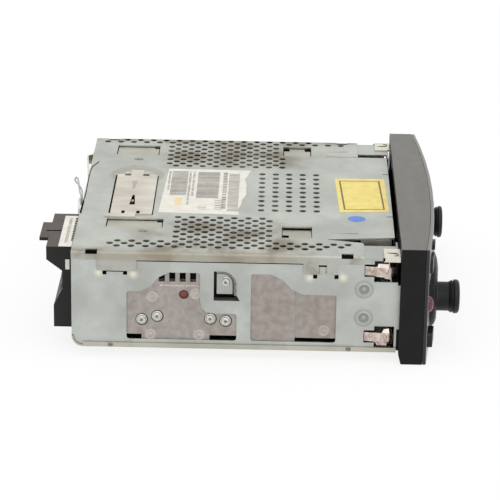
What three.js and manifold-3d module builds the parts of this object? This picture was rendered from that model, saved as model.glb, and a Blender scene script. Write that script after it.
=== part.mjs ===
// Car radio with a disc slot, one slot high, for a standard dashboard bay.
// Millimetres. +Z is up, the front faces -Y, and +X is the user's right.
// The construction frame has its origin in the chassis's front lower edge, midway between the sides.
// At the end the assembly is set down with its origin at the middle of its underside.

import * as THREE from 'three';
import { mergeVertices } from 'three/addons/utils/BufferGeometryUtils.js';
import Module from 'manifold-3d';

const wasm = await Module();
wasm.setup();

// Chassis sheet metal
const chassisWidth = 178;
const chassisHeight = 50;
const chassisDepth = 160;
const sheet = 0.8;
const sheetLap = 0.1;
const curlRadius = 5.5;
const rimHeight = 2.4;
const fit = 0.3;
const seam = 0.05;
const over = 1;

// Side walls: windows, hooks and flanges
const windowCorner = 1.5;
const windowSweep = 7;
const lugDepth = 2.2;
const lugScrewHole = 1.7;
const hookSlotWidth = 2;
const hookSlotHeight = 2.4;
const shelfReach = 6;
const flangeReach = 17;
const flangeDepth = 22;
const foldNotchDepth = 2.4;
const tongueReach = 2.4;

// Top cover
const coverFlange = 4.2;
const hookTabHeight = 9.8;
const hookTongueRise = 0.8;
const hookTongueLength = 4.2;
const foldSlotLength = 5.8;
const foldSlotDepth = 1.6;
const perforation = 3.5;
const perforationPitch = 7.1;
const perforationMargin = 1.1;
const tongueGap = 0.7;
const tongueDip = 1;
const splitWidth = 0.6;
const nickWidth = 1;
const nickDepth = 3;
const tabSlotWidth = 0.6;

// Spring plate
const springSheet = 0.6;
const springGap = 1;
const springTabLength = 7;
const springTabWidth = 6.5;
const springEndLength = 4.6;
const springEndWidth = 15.4;
const springEndOffset = 5.2;
const springHoleLength = 3.8;
const springHoleWidth = 1.6;
const springHoleInset = 0.8;
const springSlotTip = 1;

// Heat sink
const sinkThickness = 4;
const sinkMargin = 1.2;
const sinkScrewHole = 1.6;
const sinkEyeRadius = 2.5;
const combWidth = 3;
const combPitch = 5.1;
const combSlots = 4;
const sinkStep = 0.5;

// Screws
const screwHeadRadius = 2.6;
const screwHeadHeight = 1.5;
const screwShankRadius = 1.3;
const screwShankLength = 3.4;

// Spring latches and corner clips
const latchSheet = 0.6;
const latchHeight = 5.9;
const latchBulge = 2.1;
const latchTipTuck = 1.3;
const latchMouthReach = 6;
const clipReach = 12;
const clipLength = 8;
const clipSkirt = 2.6;
const clipSlotLength = 5;
const clipSlotWidth = 0.9;

// Front moulding
const fasciaOverhang = 2.15;
const fasciaRise = 4.9;
const fasciaDrop = 5.4;
const fasciaEndDepth = 13.75;
const fasciaBow = 5.4;
const fasciaGap = 0.9;
const fasciaWall = 2.4;
const fasciaWeb = 2;
const fasciaChamferHeight = 5;
const fasciaChamferDepth = 1.3;
const panelThickness = 1.8;
const postRadius = 2.5;

// Disc slot in the front
const slotHeight = 4.6;
const slotDrop = 5.5;
const slotFunnel = 1.3;
const funnelDepth = 0.7;
const slotCorner = 1.4;
const slotMargin = 4.9;

// Display
const displayInset = 51.15;
const displayBottom = 14;
const displayDrop = 8.5;
const displayCorner = 3;
const lensRecess = 0.4;
const moduleDepth = 9;
const moduleBorder = 2;

// Knobs and their encoders
const knobInset = 36.15;
const knobLevel = 17;
const knobStemRadius = 7.5;
const knobCapRadius = 8.75;
const knobRise = 0.4;
const knobEase = 0.8;
const knobDish = 0.7;
const knobGroove = 0.5;
const volumeKnobLength = 13.1;
const tuningKnobLength = 10.2;
const knobBoreWall = 3;
const encoderSize = 12;
const encoderDepth = 6;
const shaftRadius = 3;
const shaftClearance = 0.3;
const shaftHoleRadius = 4;

// Buttons
const buttonTravel = 0.8;
const buttonProud = 1.3;
const rockerProud = 2.4;
const buttonCorner = 1.2;
const buttonFlangeLip = 0.9;
const buttonFlangeThickness = 1;
const presetWidth = 11.4;
const presetHeight = 7;
const presetPitch = 13.6;
const presetLevel = 3.6;
const presetCount = 6;
const endButtonWidth = 12;
const endButtonHeight = 7.6;
const endButtonInset = 14.15;
const upperButtonDrop = 7;
const lowerButtonLevel = 4;
const topButtonWidth = 6;
const topButtonHeight = 4.4;
const topButtonGap = 1.2;
const buttonGap = 0.2;
const topButtonDrop = 1.4;

// Status lens
const statusRadius = 2.5;
const statusInset = 7.65;
const statusDome = 0.9;

// Switch board behind the front
const boardThickness = 1.6;
const switchBoardGap = 4;
const switchBoardMargin = 5.5;
const switchBoardFoot = 0.7;
const switchSize = 5;

// Main board and what stands on it
const boardLevel = 8;
const chipLength = 24;
const chipHeight = 9;
const chipThickness = 4.2;
const tunerWidth = 36;
const tunerDepth = 14;
const tunerHeight = 20;
const tunerSetback = 3;
const capacitorRadius = 6;
const capacitorHeight = 24;
const capacitorEase = 0.8;
const capacitorGap = 1.2;
const capacitorSetback = 3.3;

// Rear connector block
const headerWidth = 47.8;
const headerBottom = 6.7;
const headerSide = 8.6;
const headerInside = 13;
const headerReach = 12.8;
const headerShelfReach = 9.4;
const headerWaistReach = 5;
const headerWall = 1.7;
const headerFloor = 4;
const chamberMargin = 4.5;
const keyTabWidth = 22;
const keyTabReach = 4.5;
const pinWidth = 1.6;
const pinHeight = 0.9;
const pinLength = 5;
const pinPitch = 7;
const pinRowPitch = 4.6;
const pinColumns = 4;
const pinRows = 2;
const cellWall = 0.9;
const cellSetback = 1;

// Antenna socket and fuse
const antennaInset = 33;
const antennaLevel = 20;
const antennaRadius = 6.2;
const antennaBore = 4.8;
const antennaFlange = 8;
const antennaFlangeThickness = 1;
const antennaReach = 8;
const antennaPin = 1;
const antennaPinLength = 3;
const fuseGap = 6.6;
const fuseLevel = 14.5;
const fuseWidth = 19;
const fuseHeight = 5;
const fuseReach = 7;
const fuseHolderDepth = 13;

// Strap and wire tie at the rear
const strapHeight = 5;
const strapInset = 42;
const strapSpan = 34;
const strapBulge = 2.6;
const wireRadius = 0.5;
const wireGap = 13.6;
const wireSpan = 28;
const wireStandoff = 0.8;
const wireReach = 7.5;
const wireDrop = 5.5;
const wireRise = 9.8;

// Disc player
const deckInset = 17;
const deckFront = 8;
const deckRearGap = 21.2;
const deckFloor = 20;
const deckRimDrop = 5;
const deckSheet = 1;
const bridgeDepth = 32;
const bridgeDrop = 2.6;
const discOffset = 3;
const discDrop = 0.6;
const discThickness = 1.2;
const rollerRadius = 4;
const rollerWaist = 0.7;
const rollerEase = 0.5;
const rollerAxle = 1.5;
const rollerSetback = 8;
const motorRadius = 14;
const spindleRise = 7.75;
const motorBore = 4;
const turntableRadius = 15;
const turntableThickness = 1.8;
const spindleRadius = 1.2;
const spindleDepth = 2;
const hubRadius = 7.2;
const hubHeight = 1.6;
const hubRim = 0.8;
const clampRadius = 13;
const clampNeck = 7.5;
const clampTop = 10;
const clampThickness = 1;
const clampCap = 0.5;
const clampLift = 0.6;
const rodRadius = 1.5;
const rodClearance = 0.3;
const sledLength = 19;
const sledHeight = 8;
const sledStart = 16.5;
const sledDrop = 9.9;
const lensRadius = 3.5;
const lensHeight = 1.5;
const rodOffset = 16;
const earWidth = 7.5;
const earHeight = 8;
const rodPostLength = 8;
const rodPostWidth = 7.5;
const rodPostHeight = 4;
const sledMargin = 1;

// Counts of facets
const arcSteps = 8;
const cornerSteps = 1;
const sweepSteps = 3;
const holeSides = 6;
const knobSides = 14;
const roundSides = 10;
const screwSides = 8;
const wireSteps = 16;

// Places on the side wall, as shares of the chassis depth (from the front) and height (from below)
const sinkWindowShares = {
  rear: 0.831, shelf: 0.79, crestRear: 0.7, crestFront: 0.606, throat: 0.565, front: 0.493,
  bottom: 0.084, frontTop: 0.368, rearTop: 0.588, top: 0.79,
};
const frontWindowShares = {
  rear: 0.45, crest: 0.39, slope: 0.29, front: 0.188, bottom: 0.084, low: 0.584, top: 0.79,
};
const lugWindowShares = {
  rear: 0.564, front: 0.494, bottom: 0.504, top: 0.81, point: 0.483, plateRear: 0.555, plateBottom: 0.56,
};
const lugScrewShares = [0.528, 0.688];
const upperLatchShares = { mouth: 0, depth: 0.075, root: 0.105, bottom: 0.732, top: 0.952, slot: 0.85 };
const lowerLatchShares = { mouth: 0.009, depth: 0.07, root: 0.102, bottom: 0.04, top: 0.268, slot: 0.158 };
const wallTongueShares = { bottom: 0.24, top: 0.7 };
const hookTabShares = [[0.187, 0.291], [0.8, 0.922]];
const hookSlotShares = [0.19, 0.255, 0.835, 0.898];
const foldSlotShares = [0.14, 0.92];
const hookTongueShares = { rear: 0.245, front: 0.22 };
const shelfShares = [[0.125, 0.175], [0.87, 0.92]];

// Places on the heat sink, as shares of the chassis depth and height
const sinkScrewShares = [[0.785, 0.29], [0.7375, 0.326], [0.574, 0.308], [0.527, 0.288]];
const sinkEyeShares = [0.6556, 0.556];
const combShares = { front: 0.618, bottom: 0.688 };
const sinkNotchShares = [[0.48, 0.576, 0.13], [0.785, 0.86, 0.13], [0.17, 0.314, 0.118]];

// Places on the cover, as shares of the half width (from the middle) and the depth (from the front)
const coverShares = {
  tongueFront: 0.009, stripFront: 0.106, splitRear: 0.216,
  farSplit: 0.709, nearSplitRear: 0.735, nearSplitFront: 0.69,
};
const springWindowShares = { near: -0.375, far: 0.293, front: 0.768, rear: 0.91 };
const tongueWindowShares = [
  { near: 0.681, far: 0.863, front: 0.778, rear: 0.922 },
  { near: -0.596, far: -0.455, front: 0.732, rear: 0.91 },
  { near: 0.715, far: 0.886, front: 0.264, rear: 0.359 },
  { near: -0.724, far: -0.539, front: 0.265, rear: 0.359 },
];
const perforationShares = [
  {
    edge: 0.97, inner: 0.49, front: 0.357, rear: 0.765, shift: 0.5,
    longRows: [{ front: 0.265, rear: 0.9 }, { front: 0.115, rear: 0.965 }],
  },
  {
    edge: -0.897, inner: -0.418, front: 0.394, rear: 0.714, shift: 0,
    longRows: [{ front: 0.235, rear: 0.875 }, { front: 0.17, rear: 0.895 }, { front: 0.15, rear: 0.875 }],
  },
];
const gridShares = { near: -0.277, far: 0.362, front: 0.249, rear: 0.427 };
const frontNickShares = [0.401, -0.348];

// Places on other pieces, as shares of the size that they follow
const springHoleShares = [0.31, 0.68];
const springSlotShares = { near: 0.2, far: 0.45, rear: 0.57, front: 0.43 };
const latchBulgeShares = [0.35, 0.6];
const stemShare = 0.58;
const knobGrooveShares = [0.7, 0.76];
const webOpeningShare = 0.84;
const postShares = [0.06, 0.66];
const frontDoorShares = { side: 0.7, bottom: 0.16, top: 0.66 };
const pinChamberShares = [[0.03, 0.28], [0.4, 0.66]];
const cellChamberShares = [0.755, 0.96];
const headerStepShares = { shelf: 0.27, waistLow: 0.48, waistHigh: 0.7, lip: 0.84 };
const cellShares = [-0.333, 0.333];
const sinkSpanShares = { front: 0.18, thin: 0.314, rear: 0.84, bottom: 0.06, top: 0.82 };
const sinkShoulderShares = { front: 0.27, rear: 0.819, bottom: 0.66 };

// Derived places
const halfWidth = chassisWidth / 2;
const wallOuter = halfWidth - sheet - sheetLap;
const wallInner = wallOuter - sheet;
const wallFoot = sheet + sheetLap;
const coverUnder = chassisHeight - sheet;
const wallHead = coverUnder - sheetLap;
const frontWallFront = fit;
const frontWallRear = fit + sheet;
const rearWallFront = chassisDepth - sheet;
const curlTop = curlRadius + fit;
const boardTop = boardLevel + boardThickness;
const sinkOuter = wallInner - sheetLap;
const sinkInner = sinkOuter - sinkThickness;
const fasciaHalf = halfWidth + fasciaOverhang;
const fasciaTop = chassisHeight + fasciaRise;
const fasciaRear = -fasciaGap;
const bowRadius = (fasciaHalf * fasciaHalf + fasciaBow * fasciaBow) / (2 * fasciaBow);
const bowCentre = bowRadius - fasciaGap - fasciaEndDepth - fasciaBow;
const switchBoardRear = fasciaRear - switchBoardGap;
const switchBoardFront = switchBoardRear - boardThickness;
const slotLevel = chassisHeight - slotDrop;
const displayHalf = fasciaHalf - displayInset;
const displayTop = slotLevel - displayDrop;
const displayHeight = displayTop - displayBottom;
const displayLevel = displayBottom + displayHeight / 2;
const knobPlace = fasciaHalf - knobInset;
const endButtonPlace = fasciaHalf - endButtonInset;
const upperButtonLevel = chassisHeight - upperButtonDrop;
const topButtonOuter = endButtonPlace - endButtonWidth / 2 - 2 * buttonFlangeLip - buttonGap;
const topButtonPlace = topButtonOuter - topButtonWidth / 2;
const slotHalf = topButtonOuter - topButtonWidth - topButtonGap - slotFunnel;
const topButtonLevel = chassisHeight - topButtonDrop;
const statusPlace = fasciaHalf - statusInset;
const discHalf = slotHalf + slotMargin;
const discLevel = slotLevel - discDrop;
const deckHalf = halfWidth - deckInset;
const deckRear = rearWallFront - deckRearGap;
const deckRim = chassisHeight - deckRimDrop;
const bridgeLevel = chassisHeight - bridgeDrop;
const discPlace = (deckFront + deckRear) / 2 + discOffset;
const turntableTop = discLevel - fit;
const turntableUnder = turntableTop - turntableThickness;
const motorTop = turntableUnder - spindleRise;
const sledLevel = discLevel - sledDrop;
const deckSill = discLevel - slotHeight / 2;
const rollerLevel = turntableTop - rollerRadius;
const headerNear = headerSide - halfWidth;
const headerFar = headerNear + headerWidth;
const headerTop = coverUnder - fit;
const headerHeight = headerTop - headerBottom;
const headerRear = chassisDepth + headerReach;
const fusePlace = headerFar + fuseGap + fuseWidth / 2;
const wirePlace = headerFar + wireGap;
const wireLevel = wallHead - wireDrop;
const antennaPlace = halfWidth - antennaInset;
const strapPlace = halfWidth - strapInset;
const capacitorPlace = antennaPlace - tunerWidth / 2 - capacitorGap - capacitorRadius;

// Points on the chassis, from shares
const alongDepth = (share) => share * chassisDepth;
const alongHeight = (share) => share * chassisHeight;
const alongWidth = (share) => share * halfWidth;
const windowSpan = (w) => [alongWidth(w.near), alongWidth(w.far), alongDepth(w.front), alongDepth(w.rear)];

// A span on one side of the middle, from its nearer to its farther distance
const across = (side, near, far) => (side < 0 ? [-far, -near] : [near, far]);
const coverEdge = (side) => across(side, halfWidth - sheet, halfWidth);

// A closed three.js geometry as a solid that can be cut and joined
function toSolid(geometry) {
  const bare = geometry.index ? geometry.toNonIndexed() : geometry.clone();
  bare.deleteAttribute('normal');
  bare.deleteAttribute('uv');
  const merged = mergeVertices(bare);
  const points = merged.attributes.position.array;
  const index = merged.index.array;
  const faces = [];
  let volume = 0;
  for (let i = 0; i < index.length; i += 3) {
    const [a, b, c] = [index[i], index[i + 1], index[i + 2]];
    if (a === b || b === c || c === a) continue;
    faces.push([a, b, c]);
    const [p, q, r] = [a, b, c].map((k) => new THREE.Vector3().fromArray(points, 3 * k));
    volume += p.dot(q.cross(r));
  }
  if (volume < 0) faces.forEach((face) => face.reverse());
  return new wasm.Manifold(new wasm.Mesh({
    numProp: 3,
    vertProperties: new Float32Array(points),
    triVerts: new Uint32Array(faces.flat()),
  }));
}

// A finished solid as a flat-shaded geometry
function toGeometry(solid) {
  const mesh = solid.getMesh();
  const geometry = new THREE.BufferGeometry();
  geometry.setAttribute('position', new THREE.BufferAttribute(mesh.vertProperties.slice(), 3));
  geometry.setIndex([...mesh.triVerts]);
  return geometry;
}

function material(color, roughness, metalness) {
  return new THREE.MeshStandardMaterial({ color, roughness, metalness });
}

function piece(name, solid, paint) {
  const mesh = new THREE.Mesh(toGeometry(solid), paint);
  mesh.name = name;
  return mesh;
}

// A box between two places on each axis
function box(x0, x1, y0, y1, z0, z1) {
  const geometry = new THREE.BoxGeometry(x1 - x0, y1 - y0, z1 - z0);
  geometry.translate((x0 + x1) / 2, (y0 + y1) / 2, (z0 + z1) / 2);
  return toSolid(geometry);
}

const unitX = new THREE.Vector3(1, 0, 0);
const unitY = new THREE.Vector3(0, 1, 0);
const unitZ = new THREE.Vector3(0, 0, 1);

// A flat outline drawn out by a length
function extruded(shape, length, curveSegments) {
  return new THREE.ExtrudeGeometry(shape, { depth: length, bevelEnabled: false, curveSegments });
}

// A flat outline drawn in (y, z) and drawn out along X
function prismX(shape, from, to, curveSegments = sweepSteps) {
  const geometry = extruded(shape, to - from, curveSegments);
  geometry.applyMatrix4(new THREE.Matrix4().makeBasis(unitY, unitZ, unitX).setPosition(from, 0, 0));
  return toSolid(geometry);
}

// A flat outline drawn in (x, z) and drawn out along Y
function prismY(shape, from, to, curveSegments = sweepSteps) {
  const geometry = extruded(shape, to - from, curveSegments);
  const back = unitY.clone().negate();
  geometry.applyMatrix4(new THREE.Matrix4().makeBasis(unitX, unitZ, back).setPosition(0, to, 0));
  return toSolid(geometry);
}

// A flat outline drawn in (x, y) and drawn out along Z
function prismZ(shape, from, to, curveSegments = sweepSteps) {
  const geometry = extruded(shape, to - from, curveSegments);
  geometry.translate(0, 0, from);
  return toSolid(geometry);
}

// A round body from (radius, height) points, its height along Y
function lathed(points, sides) {
  return new THREE.LatheGeometry(points.map(([r, h]) => new THREE.Vector2(r, h)), sides);
}

const turnedX = (points, sides) => toSolid(lathed(points, sides).rotateZ(-Math.PI / 2));
const turnedY = (points, sides) => toSolid(lathed(points, sides));
const turnedZ = (points, sides) => toSolid(lathed(points, sides).rotateX(Math.PI / 2));

const rod = (radius, from, to) => [[0, from], [radius, from], [radius, to], [0, to]];

// A flat outline through points
function outlineOf(points, path = new THREE.Shape()) {
  points.forEach(([a, b], i) => {
    if (i === 0) path.moveTo(a, b);
    else path.lineTo(a, b);
  });
  return path;
}

function rectangle(left, right, low, high) {
  return outlineOf([[left, low], [right, low], [right, high], [left, high]]);
}

function rectangularHole(left, right, low, high) {
  return outlineOf([[left, low], [right, low], [right, high], [left, high]], new THREE.Path());
}

function roundedRectangle(width, height, radius) {
  const [w, h] = [width / 2, height / 2];
  const shape = new THREE.Shape();
  shape.moveTo(radius - w, -h).lineTo(w - radius, -h);
  shape.absarc(w - radius, radius - h, radius, -Math.PI / 2, 0);
  shape.absarc(w - radius, h - radius, radius, 0, Math.PI / 2);
  shape.absarc(radius - w, h - radius, radius, Math.PI / 2, Math.PI);
  shape.absarc(radius - w, radius - h, radius, Math.PI, 1.5 * Math.PI);
  return shape;
}

// The points of a regular outline round a middle, its flats square to the axes
function regularPoints(x, y, radius, sides) {
  return Array.from({ length: sides }, (_, i) => {
    const angle = (2 * Math.PI * i + Math.PI) / sides;
    return [x + radius * Math.cos(angle), y + radius * Math.sin(angle)];
  });
}

function polygonHole(x, y, radius, sides) {
  return outlineOf(regularPoints(x, y, radius, sides), new THREE.Path());
}

// The front's curve in plan: its place along Y at x, a depth behind the outer face
function frontAt(x, depth = 0) {
  const radius = bowRadius - depth;
  return bowCentre - Math.sqrt(radius * radius - x * x);
}

// The front's curve in plan, as points from one side to the other at a depth behind the outer face
function frontPoints(depth, halfSpan) {
  return Array.from({ length: arcSteps + 1 }, (_, i) => {
    const x = THREE.MathUtils.lerp(-halfSpan, halfSpan, i / arcSteps);
    return [x, frontAt(x, depth)];
  });
}

// A curved slice of the front, in plan, between two depths behind the outer face
function frontSlice(near, far) {
  return outlineOf([...frontPoints(near, fasciaHalf), ...frontPoints(far, fasciaHalf).reverse()]);
}

// The window over the heat sink's rear part: a low shelf, a sweep up to the crest, a throat and a front shelf
function sinkWindow() {
  const s = sinkWindowShares;
  const [front, throat, crestFront] = [s.front, s.throat, s.crestFront].map(alongDepth);
  const [crestRear, shelf, rear] = [s.crestRear, s.shelf, s.rear].map(alongDepth);
  const [bottom, low, middle, top] = [s.bottom, s.frontTop, s.rearTop, s.top].map(alongHeight);
  const r = windowCorner;
  const path = new THREE.Shape();
  path.moveTo(front + r, bottom).lineTo(rear - r, bottom);
  path.quadraticCurveTo(rear, bottom, rear, bottom + r);
  path.lineTo(rear, middle - r);
  path.quadraticCurveTo(rear, middle, rear - r, middle);
  path.lineTo(shelf, middle);
  path.bezierCurveTo(shelf - windowSweep, middle, crestRear + windowSweep, top, crestRear, top);
  path.lineTo(crestFront + r, top);
  path.quadraticCurveTo(crestFront, top, crestFront, top - r);
  path.lineTo(crestFront, low + windowSweep);
  path.quadraticCurveTo(crestFront, low, throat, low);
  path.lineTo(front + r, low);
  path.quadraticCurveTo(front, low, front, low - r);
  path.lineTo(front, bottom + r);
  path.quadraticCurveTo(front, bottom, front + r, bottom);
  return path;
}

// The window over the heat sink's front part, with its long double curve
function frontWindow() {
  const s = frontWindowShares;
  const [front, slope, crest, rear] = [s.front, s.slope, s.crest, s.rear].map(alongDepth);
  const [bottom, low, top] = [s.bottom, s.low, s.top].map(alongHeight);
  const r = windowCorner;
  const path = new THREE.Shape();
  path.moveTo(front + r, bottom).lineTo(rear - r, bottom);
  path.quadraticCurveTo(rear, bottom, rear, bottom + r);
  path.lineTo(rear, top - r);
  path.quadraticCurveTo(rear, top, rear - r, top);
  path.lineTo(crest, top);
  path.bezierCurveTo(crest - windowSweep, top, slope + windowSweep, low, slope, low);
  path.lineTo(front + r, low);
  path.quadraticCurveTo(front, low, front, low - r);
  path.lineTo(front, bottom + r);
  path.quadraticCurveTo(front, bottom, front + r, bottom);
  return path;
}

// The outline round the sunken lug, its front upper corner well rounded
function lugOutline(rear, bottom) {
  const [front, top] = [alongDepth(lugWindowShares.front), alongHeight(lugWindowShares.top)];
  const path = outlineOf([[front, bottom], [rear, bottom], [rear, top], [front + windowSweep, top]]);
  path.quadraticCurveTo(front, top, front, top - windowSweep);
  path.lineTo(front, bottom);
  return path;
}

// One side wall, standing in the (y, z) plane, with the cut-outs that both sides share
function sideWall(side) {
  const [from, to] = across(side, wallInner, wallOuter);
  const wallRear = rearWallFront - sheetLap;
  const bend = curlRadius - wallFoot;
  const [tongueLow, tongueHigh] = [alongHeight(wallTongueShares.bottom), alongHeight(wallTongueShares.top)];
  const outline = outlineOf([
    [chassisDepth, curlTop], [chassisDepth, wallHead], [frontWallFront, wallHead],
    [frontWallFront, tongueHigh], [-tongueReach, tongueHigh], [-tongueReach, tongueLow],
    [frontWallFront, tongueLow], [frontWallFront, wallFoot], [wallRear - bend, wallFoot],
  ]);
  outline.absarc(wallRear - bend, wallFoot + bend, bend, -Math.PI / 2, 0);
  outline.lineTo(wallRear, curlTop);
  let wall = prismX(outline, from, to);
  const cut = (y0, y1, z0, z1) => {
    wall = wall.subtract(box(from - over, to + over, y0, y1, z0, z1));
  };
  for (const s of [upperLatchShares, lowerLatchShares]) {
    const middle = alongHeight(s.slot);
    const half = latchHeight / 2 + fit;
    cut(alongDepth(s.mouth), alongDepth(s.depth), alongHeight(s.bottom), alongHeight(s.top));
    cut(alongDepth(s.depth) - over, alongDepth(s.root), middle - half, middle + half);
  }
  for (const share of hookSlotShares) {
    const [middle, top] = [alongDepth(share), chassisHeight - hookTabHeight];
    cut(middle - hookSlotWidth / 2, middle + hookSlotWidth / 2, top - hookSlotHeight, top);
  }
  for (const share of foldSlotShares) {
    const y = alongDepth(share);
    cut(y - fit, y + foldSlotLength + fit, wallHead - foldNotchDepth, wallHead + over);
  }
  return wall;
}

// The lug sunk into a side wall for the disc player's screw, joined to the wall along its top and front
function sunkenLug(side) {
  const s = lugWindowShares;
  const floor = wallOuter - lugDepth;
  const plate = lugOutline(alongDepth(s.plateRear), alongHeight(s.plateBottom));
  const cup = prismX(plate, ...across(side, floor - sheet, wallOuter));
  const [front, rear] = [alongDepth(s.front) + sheet, alongDepth(s.rear) + over];
  const top = alongHeight(s.top) - sheet;
  const sweep = windowSweep - sheet;
  const inside = outlineOf([[front, 0], [rear, 0], [rear, top], [front + sweep, top]]);
  inside.quadraticCurveTo(front, top, front, top - sweep);
  const through = across(side, floor - sheet - over, wallOuter + over);
  const hole = turnedX(rod(lugScrewHole, ...through), roundSides);
  return cup
    .subtract(prismX(inside, ...across(side, floor, wallOuter + over)))
    .subtract(hole.translate(0, alongDepth(lugScrewShares[0]), alongHeight(lugScrewShares[1])));
}

// Rear wall with the notch for the connector block, the antenna socket's hole and the fuse's window
function rearWall() {
  const outline = rectangle(-wallOuter, wallOuter, curlTop, wallHead);
  outline.holes.push(polygonHole(antennaPlace, antennaLevel, antennaRadius + fit, roundSides));
  const [half, tall] = [fuseWidth / 2 + fit, fuseHeight / 2 + fit];
  const [near, far] = [fusePlace - half, fusePlace + half];
  outline.holes.push(rectangularHole(near, far, fuseLevel - tall, fuseLevel + tall));
  const [notchRear, notchTop] = [chassisDepth + over, wallHead + over];
  return prismY(outline, rearWallFront, chassisDepth)
    .subtract(box(headerNear - fit, headerFar + fit, rearWallFront - over, notchRear, boardTop, notchTop));
}

// Front wall with the disc opening, the doorway for the front board's plug and the latches' mouths
function frontWall() {
  const through = [frontWallFront - over, frontWallRear + over];
  let wall = box(-wallOuter, wallOuter, frontWallFront, frontWallRear, wallFoot, wallHead);
  const door = frontDoorShares;
  const side = door.side * halfWidth;
  wall = wall.subtract(box(-discHalf, discHalf, ...through, slotLevel - slotHeight, wallHead + over));
  wall = wall.subtract(box(-side, side, ...through, alongHeight(door.bottom), alongHeight(door.top)));
  for (const s of [upperLatchShares, lowerLatchShares]) {
    for (const end of [-1, 1]) {
      const mouth = across(end, wallInner - latchMouthReach, wallOuter + over);
      wall = wall.subtract(box(...mouth, ...through, alongHeight(s.bottom), alongHeight(s.top)));
    }
  }
  return wall;
}

// Folded frame of the chassis: the side, front and rear walls, and the flanges and shelves bent inwards
function chassisFrame() {
  let frame = sideWall(-1).add(sideWall(1)).add(rearWall()).add(frontWall());
  for (const window of [sinkWindow(), frontWindow()]) {
    frame = frame.subtract(prismX(window, ...across(-1, wallInner - over, wallOuter + over)));
  }
  const s = lugWindowShares;
  const [front, low, high] = [alongDepth(s.front), alongHeight(s.bottom), alongHeight(s.plateBottom)];
  for (const side of [-1, 1]) {
    const through = across(side, wallInner - over, wallOuter + over);
    const tip = alongDepth(s.point);
    const point = outlineOf([[front + over, low], [front + over, high], [front, high], [tip, low]]);
    frame = frame.subtract(prismX(lugOutline(alongDepth(s.rear), low), ...through));
    frame = frame.subtract(prismX(point, ...through)).add(sunkenLug(side));
    const shelf = across(side, wallOuter - shelfReach, wallOuter);
    const flange = across(side, wallOuter - flangeReach, wallOuter);
    const foot = rearWallFront - curlRadius;
    const level = boardLevel - sheetLap;
    frame = frame.add(box(...flange, frontWallFront, flangeDepth, wallHead - sheet, wallHead));
    frame = frame.add(box(...shelf, frontWallFront, foot, wallFoot, wallFoot + sheet));
    for (const span of shelfShares) {
      frame = frame.add(box(...shelf, ...span.map(alongDepth), level - sheet, level));
    }
  }
  return frame;
}

// Bottom sheet with its rear edge curled up behind the side walls, and a low rim along each side
function bottomCover() {
  const [r, t] = [curlRadius, sheet];
  const profile = outlineOf([[frontWallFront, t], [frontWallFront, 0], [chassisDepth - r, 0]]);
  profile.absarc(chassisDepth - r, r, r, -Math.PI / 2, 0);
  profile.lineTo(chassisDepth, r + seam).lineTo(chassisDepth - t, r + seam).lineTo(chassisDepth - t, r);
  profile.absarc(chassisDepth - r, r, r - t, 0, -Math.PI / 2, true);
  let cover = prismX(profile, -halfWidth, halfWidth);
  for (const side of [-1, 1]) {
    cover = cover.add(box(...coverEdge(side), frontWallFront, chassisDepth - r, 0, rimHeight));
  }
  return cover;
}

// Whether a round hole stays clear of the cover's windows, splits and edges
function perforationIsClear(x, y) {
  const clear = perforation / 2 + perforationMargin;
  const meets = [springWindowShares, ...tongueWindowShares].some((w) => (
    x > alongWidth(w.near) - clear && x < alongWidth(w.far) + clear
    && y > alongDepth(w.front) - clear && y < alongDepth(w.rear) + clear
  ));
  const inside = Math.abs(x) < halfWidth - sheet - clear / 2;
  return inside && !meets && y < chassisDepth - clear && y > alongDepth(coverShares.stripFront) + clear;
}

// The staggered fields of round holes along both sides, and the square grid in the middle
function perforations() {
  const half = perforationPitch / 2;
  const steps = Math.ceil(chassisDepth / perforationPitch);
  const holes = [];
  const add = (x, y) => {
    if (perforationIsClear(x, y)) holes.push(polygonHole(x, y, perforation / 2, holeSides));
  };
  for (const field of perforationShares) {
    const middle = (alongDepth(field.front) + alongDepth(field.rear)) / 2;
    const span = Math.abs(alongWidth(field.edge - field.inner));
    for (let row = 0; row <= Math.floor(span / half); row += 1) {
      const x = alongWidth(field.edge) - Math.sign(field.edge) * row * half;
      const reach = field.longRows[row] ?? field;
      const [front, rear] = [alongDepth(reach.front), alongDepth(reach.rear)];
      const start = middle + ((field.shift + row / 2) % 1) * perforationPitch;
      for (let step = -steps; step <= steps; step += 1) {
        const y = start + step * perforationPitch;
        if (y >= front && y <= rear) add(x, y);
      }
    }
  }
  const [near, far, front, rear] = windowSpan(gridShares);
  for (let x = near; x <= far; x += perforationPitch) {
    for (let y = front; y <= rear; y += perforationPitch) add(x, y);
  }
  return holes;
}

// Cover outline: full width at the rear, a middle tongue to the front, and a shorter strip on each side
function coverOutline() {
  const c = coverShares;
  const [front, strip, split] = [c.tongueFront, c.stripFront, c.splitRear].map(alongDepth);
  const [far, nearRear, nearFront] = [c.farSplit, c.nearSplitRear, c.nearSplitFront].map(alongWidth);
  return outlineOf([
    [-halfWidth, chassisDepth], [-halfWidth, strip], [-nearRear - splitWidth, strip],
    [-nearRear - splitWidth, split], [-nearRear, split], [-nearFront, front],
    [far, front], [far, split], [far + splitWidth, split], [far + splitWidth, strip],
    [halfWidth, strip], [halfWidth, chassisDepth],
  ]);
}

// A tongue lanced out of the cover: rooted at the window's near edge and dipping towards its far edge
function lancedTongue(w) {
  const [root, end, front, rear] = windowSpan(w);
  const tip = end - tongueGap;
  const profile = outlineOf([
    [root - over, coverUnder], [root, coverUnder], [tip, coverUnder - tongueDip],
    [tip, chassisHeight - tongueDip], [root, chassisHeight], [root - over, chassisHeight],
  ]);
  return prismY(profile, front + tongueGap, rear - tongueGap);
}

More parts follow.
